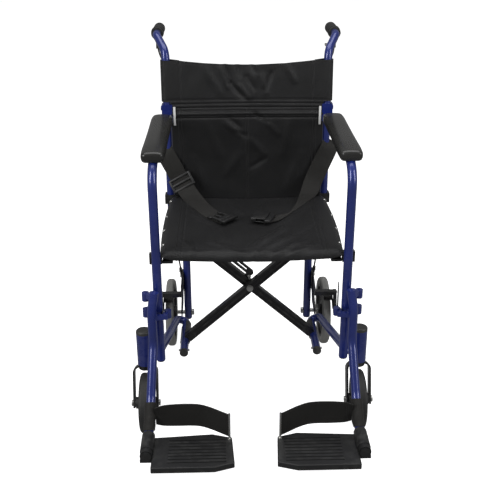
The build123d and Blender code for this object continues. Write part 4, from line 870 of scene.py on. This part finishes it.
# %% Buckle and adjuster
def on_belt(side_name, along, lift, piece):
    """Moves a piece made at the origin, X across and Y along a belt, to its place on the belt."""
    place = belts[side_name][2]
    here, right, ahead, out = surface_step(place, 0.0, along)
    out = out if out.z > 0 or (abs(out.z) < 0.7 and out.y < 0) else -out
    ahead = out.cross(right)
    turn = Matrix((right, ahead, out)).transposed().to_4x4()
    return move_all(piece, Matrix.Translation(here + out * lift) @ turn)


adjuster_bars = [block("bar", (-0.031, y - 0.0035, -0.0030), (0.031, y + 0.0035, 0.0035), 0.0018,
                       "black_plastic")
                 for y in (-0.016, 0.0, 0.016)]
adjuster_bars += [block("rail", (s * 0.0295 - 0.0035, -0.0195, -0.0032),
                        (s * 0.0295 + 0.0035, 0.0195, 0.0038),
                        0.0020, "black_plastic") for s in (-1, 1)]
adjuster = on_belt("right", 0.118, 0.0022, join_as("belt_adjuster", adjuster_bars))


def tongue():
    """The pronged half: a slotted body, two sprung side prongs with hooked tips, and a middle guide."""
    made = [block("body", (-0.0290, -0.016, 0.0), (0.0290, 0.000, 0.0085), 0.0026, "black_plastic"),
            block("neck", (-0.0250, 0.000, 0.0012), (0.0250, 0.014, 0.0078), 0.0022, "black_plastic"),
            block("guide", (-0.0035, 0.012, 0.0025), (0.0035, 0.040, 0.0068), 0.0015, "black_plastic")]
    for s in (-1, 1):
        made.append(block("prong", (s * 0.0185 - 0.0028, 0.012, 0.0020), (s * 0.0185 + 0.0028, 0.036, 0.0072),
                          0.0015, "black_plastic"))
        made.append(block("hook", (s * 0.0200 - 0.0050, 0.032, 0.0018), (s * 0.0200 + 0.0050, 0.046, 0.0074),
                          0.0020, "black_plastic"))
    return join_as("belt_tongue", made)


def socket():
    """The pocket half: two shells round a mouth, waisted where the hooks show, and a slotted tail."""
    made = [block("tail", (-0.0290, -0.014, 0.0), (0.0290, 0.002, 0.0085), 0.0026, "black_plastic"),
            block("roof", (-0.0270, 0.000, 0.0080), (0.0270, 0.038, 0.0115), 0.0016, "black_plastic"),
            block("floor", (-0.0270, 0.000, 0.0), (0.0270, 0.038, 0.0032), 0.0014, "black_plastic")]
    for s in (-1, 1):
        made.append(block("cheek", (s * 0.0255 - 0.0022, 0.024, 0.0020),
                          (s * 0.0255 + 0.0022, 0.0378, 0.0100),
                          0.0014, "black_plastic"))
        made.append(block("wall", (s * 0.0110 - 0.0016, 0.002, 0.0020), (s * 0.0110 + 0.0016, 0.034, 0.0100),
                          0.0010, "black_plastic"))
    return join_as("belt_socket", made)


tongue_piece = on_belt("right", belts["right"][3] - 0.004, 0.0016, tongue())
socket_piece = on_belt("left", belts["left"][3] - 0.004, 0.0016, socket())
for side_name, extras in (("right", [adjuster, tongue_piece]), ("left", [socket_piece])):
    belt, thread = belts[side_name][:2]
    belt_fold = ("frame_fold", (0.0, 0.0, 1.0), (0.0, 0.0, 0.64), 0.12)
    for piece in (belt, thread):
        settle(piece, f"{side_name}_frame", belt_fold)
    for piece in extras:
        settle(piece, f"{side_name}_frame", belt_fold)
    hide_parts(f"{side_name}_lap_belt")

# %% [markdown]
# ## Arm pads
# The pads are self-skinned foam on a steel strip: round-shouldered, a little
# crowned, full at the nose, with a parting line low down. A block is cut across,
# its shoulders are rounded, and two levels of subdivision smooth the skin.

# %% Arm pads
PAD_X, PAD_HALF = 0.228, 0.0288
PAD_FRONT, PAD_BACK = -0.154, 0.206
PAD_LOW, PAD_TOP = 0.6985, 0.7275


def arm_pad(side_name, side):
    deselect()
    bpy.ops.mesh.primitive_cube_add(size=1)
    piece = bpy.context.object
    piece.name = piece.data.name = f"{side_name}_arm_pad_skin"
    low = (side * PAD_X - PAD_HALF, PAD_FRONT, PAD_LOW)
    high = (side * PAD_X + PAD_HALF, PAD_BACK, PAD_TOP)
    for vertex in piece.data.vertices:
        vertex.co = [low[i] if vertex.co[i] < 0 else high[i] for i in range(3)]
    soften = piece.modifiers.new("shoulders", "BEVEL")
    soften.width, soften.segments = 0.0105, 4
    bpy.ops.object.modifier_apply(modifier=soften.name)
    bpy.ops.object.mode_set(mode="EDIT")
    for y in [PAD_FRONT + 0.012 + k * (PAD_BACK - PAD_FRONT - 0.024) / 14 for k in range(15)]:
        bpy.ops.mesh.select_all(action="SELECT")
        bpy.ops.mesh.bisect(plane_co=(0, y, 0), plane_no=(0, 1, 0))
    for x in (-0.014, -0.006, 0.006, 0.014):
        bpy.ops.mesh.select_all(action="SELECT")
        bpy.ops.mesh.bisect(plane_co=(side * PAD_X + x, 0, 0), plane_no=(1, 0, 0))
    for z in (0.7040, 0.7052, 0.7064):
        bpy.ops.mesh.select_all(action="SELECT")
        bpy.ops.mesh.bisect(plane_co=(0, 0, z), plane_no=(0, 0, 1))
    bpy.ops.object.mode_set(mode="OBJECT")
    centre = side * PAD_X
    for vertex in piece.data.vertices:
        x, y, z = vertex.co
        across = (x - centre) / PAD_HALF
        end = min((y - PAD_FRONT) / 0.05, (PAD_BACK - y) / 0.04, 1.0)
        if z > 0.712:
            share = (z - 0.712) / (PAD_TOP - 0.712)
            z -= share * (0.0032 * across * across + 0.0020 * (1 - end))
        waist = 1 - 0.05 * math.sin(math.pi * (y - PAD_FRONT) / (PAD_BACK - PAD_FRONT))
        x = centre + (x - centre) * waist * (0.90 + 0.10 * math.sin(math.pi / 2 * end))
        if abs(z - 0.7052) < 0.0006:
            x = centre + (x - centre) * 0.965
            y = y + 0.0010 if y < PAD_FRONT + 0.004 else y - 0.0010 if y > PAD_BACK - 0.004 else y
        vertex.co = (x, y, z)
    fine = piece.modifiers.new("skin", "SUBSURF")
    fine.levels = fine.render_levels = 2
    bpy.ops.object.modifier_apply(modifier=fine.name)
    bpy.ops.object.shade_smooth()
    piece.data.materials.append(finishes["pad_skin"])
    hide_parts(f"{side_name}_arm_pad")
    return settle(piece, f"{side_name}_frame")


for side_name, side in SIDES.items():
    pad = arm_pad(side_name, side)
    print(pad.name, "faces", len(pad.data.polygons))

# %% [markdown]
# ## Push grips
# A moulded rubber grip has finger rings and a flange at its mouth. It is turned
# from a circle: extrude a ring, resize it, and go on to the end.

# %% Push grips
GRIP_X, GRIP_Z, GRIP_FRONT = 0.244, 0.912, 0.361


def push_grip(side_name, side):
    rings = [(0.0, 0.0118), (0.0, 0.0168), (0.0012, 0.0176), (0.0050, 0.0176), (0.0066, 0.0166),
             (0.0080, 0.0150)]
    start, pitch = 0.012, 0.0088
    for k in range(8):
        base = start + k * pitch
        rings += [(base, 0.0148), (base + 0.0020, 0.0158), (base + 0.0050, 0.0160), (base + 0.0070, 0.0150)]
    rings += [(0.0815, 0.0152), (0.0840, 0.0158), (0.0853, 0.0145), (0.0860, 0.0105), (0.0860, 0.0030)]
    mouth = (side * GRIP_X, GRIP_FRONT, GRIP_Z)
    grip = turned(f"{side_name}_grip_rubber", rings, mouth, (0, 1, 0), "grip_rubber")
    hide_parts(f"{side_name}_push_grip")
    return settle(grip, f"{side_name}_back")


for side_name, side in SIDES.items():
    push_grip(side_name, side)

# %% [markdown]
# ## Heel loops
# A loop of wide webbing stops the heel from slipping back. It is sewn round the
# hanger tube as a sleeve, bows back, and its free end wraps the zinc post.

# %% Heel loops
LOOP_WIDTH, LOOP_THICK = 0.062, 0.0026
HANGER_FOOT, HANGER_KNEE = Vector((0.2520, -0.3230, 0.0840)), Vector((0.2485, -0.2700, 0.1490))
SLEEVE_R = 0.0131


def hanger_sleeve(side_name, side):
    """The end of the webbing wrapped round the hanger tube, lapping over itself on the inner side."""
    down = (HANGER_FOOT - HANGER_KNEE).normalized()
    back = down.cross(Vector((1, 0, 0))).normalized()

    def place(across, along):
        angle = across / SLEEVE_R
        reach = SLEEVE_R + 0.0012 * max(0.0, angle - 2 * math.pi) + 0.0004 * math.sin(along * 260 + 2 * angle)
        spot = HANGER_KNEE + down * (0.014 + along) - Vector((1, 0, 0)) * (reach * math.cos(angle))
        spot += back * (reach * math.sin(angle))
        return (side * spot.x, spot.y, spot.z)

    columns = stations(0.0, SLEEVE_R * 5.9, 0.0034)
    rows = stations(0.0, 0.066, 0.0055)
    return lay_cloth(f"{side_name}_heel_sleeve", columns, rows, place, 0.0022, "webbing")


for side_name, side in SIDES.items():
    up = (0.0, 0.0, 1.0)
    stops = [((0.2372, -0.2990, 0.1130), (0.0, -0.30, 0.95)), ((0.2150, -0.2990, 0.1145), (0.0, -0.08, 1.0)),
             ((0.1800, -0.3000, 0.1160), up), ((0.1520, -0.3000, 0.1160), up),
             ((0.1280, -0.3030, 0.1155), up), ((0.1040, -0.3130, 0.1140), up),
             ((0.0820, -0.3260, 0.1125), up), ((0.0610, -0.3385, 0.1110), up)]
    run = [((side * x, y, z), w) for (x, y, z), w in stops]
    loop, place, length = webbing(f"{side_name}_heel_webbing", run, LOOP_WIDTH, LOOP_THICK)
    sleeve = hanger_sleeve(side_name, side)
    lines = [[(a, 0.012), (a, length - 0.012)] for a in (-0.027, 0.027)]
    lines += [[(-0.027, d), (0.027, d)] for d in (0.010, 0.014, length - 0.016, length - 0.012)]
    thread = stitch_rows(f"{side_name}_heel_stitching", place, lines, LOOP_THICK / 2)
    loop_fold = (f"{side_name}_plate_flip", FOLD_X, (side * 0.250, 0.0, 0.1), 0.2)
    for piece in (loop, thread):
        settle(piece, f"{side_name}_hanger_body", loop_fold)
    settle(sleeve, f"{side_name}_hanger_body")
    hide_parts(f"{side_name}_heel_loop")

# %% [markdown]
# ## Brake cables
# A bowden cable is a steel wire in a black plastic sheath. It leaves the lever's
# housing, drops behind the back and ends at the brake, so both its ends are held.
# It is a smooth spline with a round section.

# %% Brake cables
CABLE_R = 0.0025
cable_route = [(0.2420, 0.3418, 0.8800), (0.2400, 0.3027, 0.8640), (0.1960, 0.2850, 0.8000),
               (0.1960, 0.2830, 0.4700), (0.2140, 0.2680, 0.3300), (0.1980, 0.2440, 0.2517)]


def brake_cable(side_name, side):
    deselect()
    bpy.ops.curve.primitive_nurbs_path_add()
    wire = bpy.context.object
    wire.name = wire.data.name = f"{side_name}_cable_sheath"
    spline = wire.data.splines[0]
    spline.points.add(len(cable_route) - len(spline.points))
    for point, (x, y, z) in zip(spline.points, cable_route):
        point.co = (side * x, y, z, 1)
    spline.order_u = 3
    spline.use_endpoint_u = True
    wire.data.resolution_u = 24
    wire.data.bevel_depth = CABLE_R
    wire.data.bevel_resolution = 3
    wire.data.use_fill_caps = True
    bpy.ops.object.convert(target="MESH")
    wire = bpy.context.object
    bpy.ops.object.shade_smooth()
    face_out(wire)
    wire.data.materials.clear()
    wire.data.materials.append(finishes["cable_sheath"])
    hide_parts(f"{side_name}_brake_cable")
    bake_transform(wire)
    return wire


for side_name, side in SIDES.items():
    print(brake_cable(side_name, side).name)

# %% [markdown]
# ## Edge tabs and stay bolt
# A plain white tape tab is sewn in at each edge of the back, below the hinges. A
# small zinc bolt holds the foot of the stay to the cross brace.

# %% Edge tabs and stay bolt
TAB_LOW, TAB_HIGH = 0.684, 0.735
for side_name, side in SIDES.items():
    near, far = sorted((side * 0.1950, side * 0.2010))
    tab = block(f"{side_name}_tab", (near, 0.2350, TAB_LOW), (far, 0.2366, TAB_HIGH), 0.0006, "white_tab")
    tab.name = tab.data.name = f"{side_name}_edge_tab"
    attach(tab, "right_frame")
    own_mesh(tab)

bolt_rings = [(0.0, 0.0048), (0.0016, 0.0048), (0.0018, 0.0036), (0.0044, 0.0034), (0.0050, 0.0016)]
stay_bolt = turned("stay_bolt", bolt_rings, (-0.001, 0.0485, 0.315), (0, -1, 0), "zinc", sides=24)
settle(stay_bolt, "rear_cross")
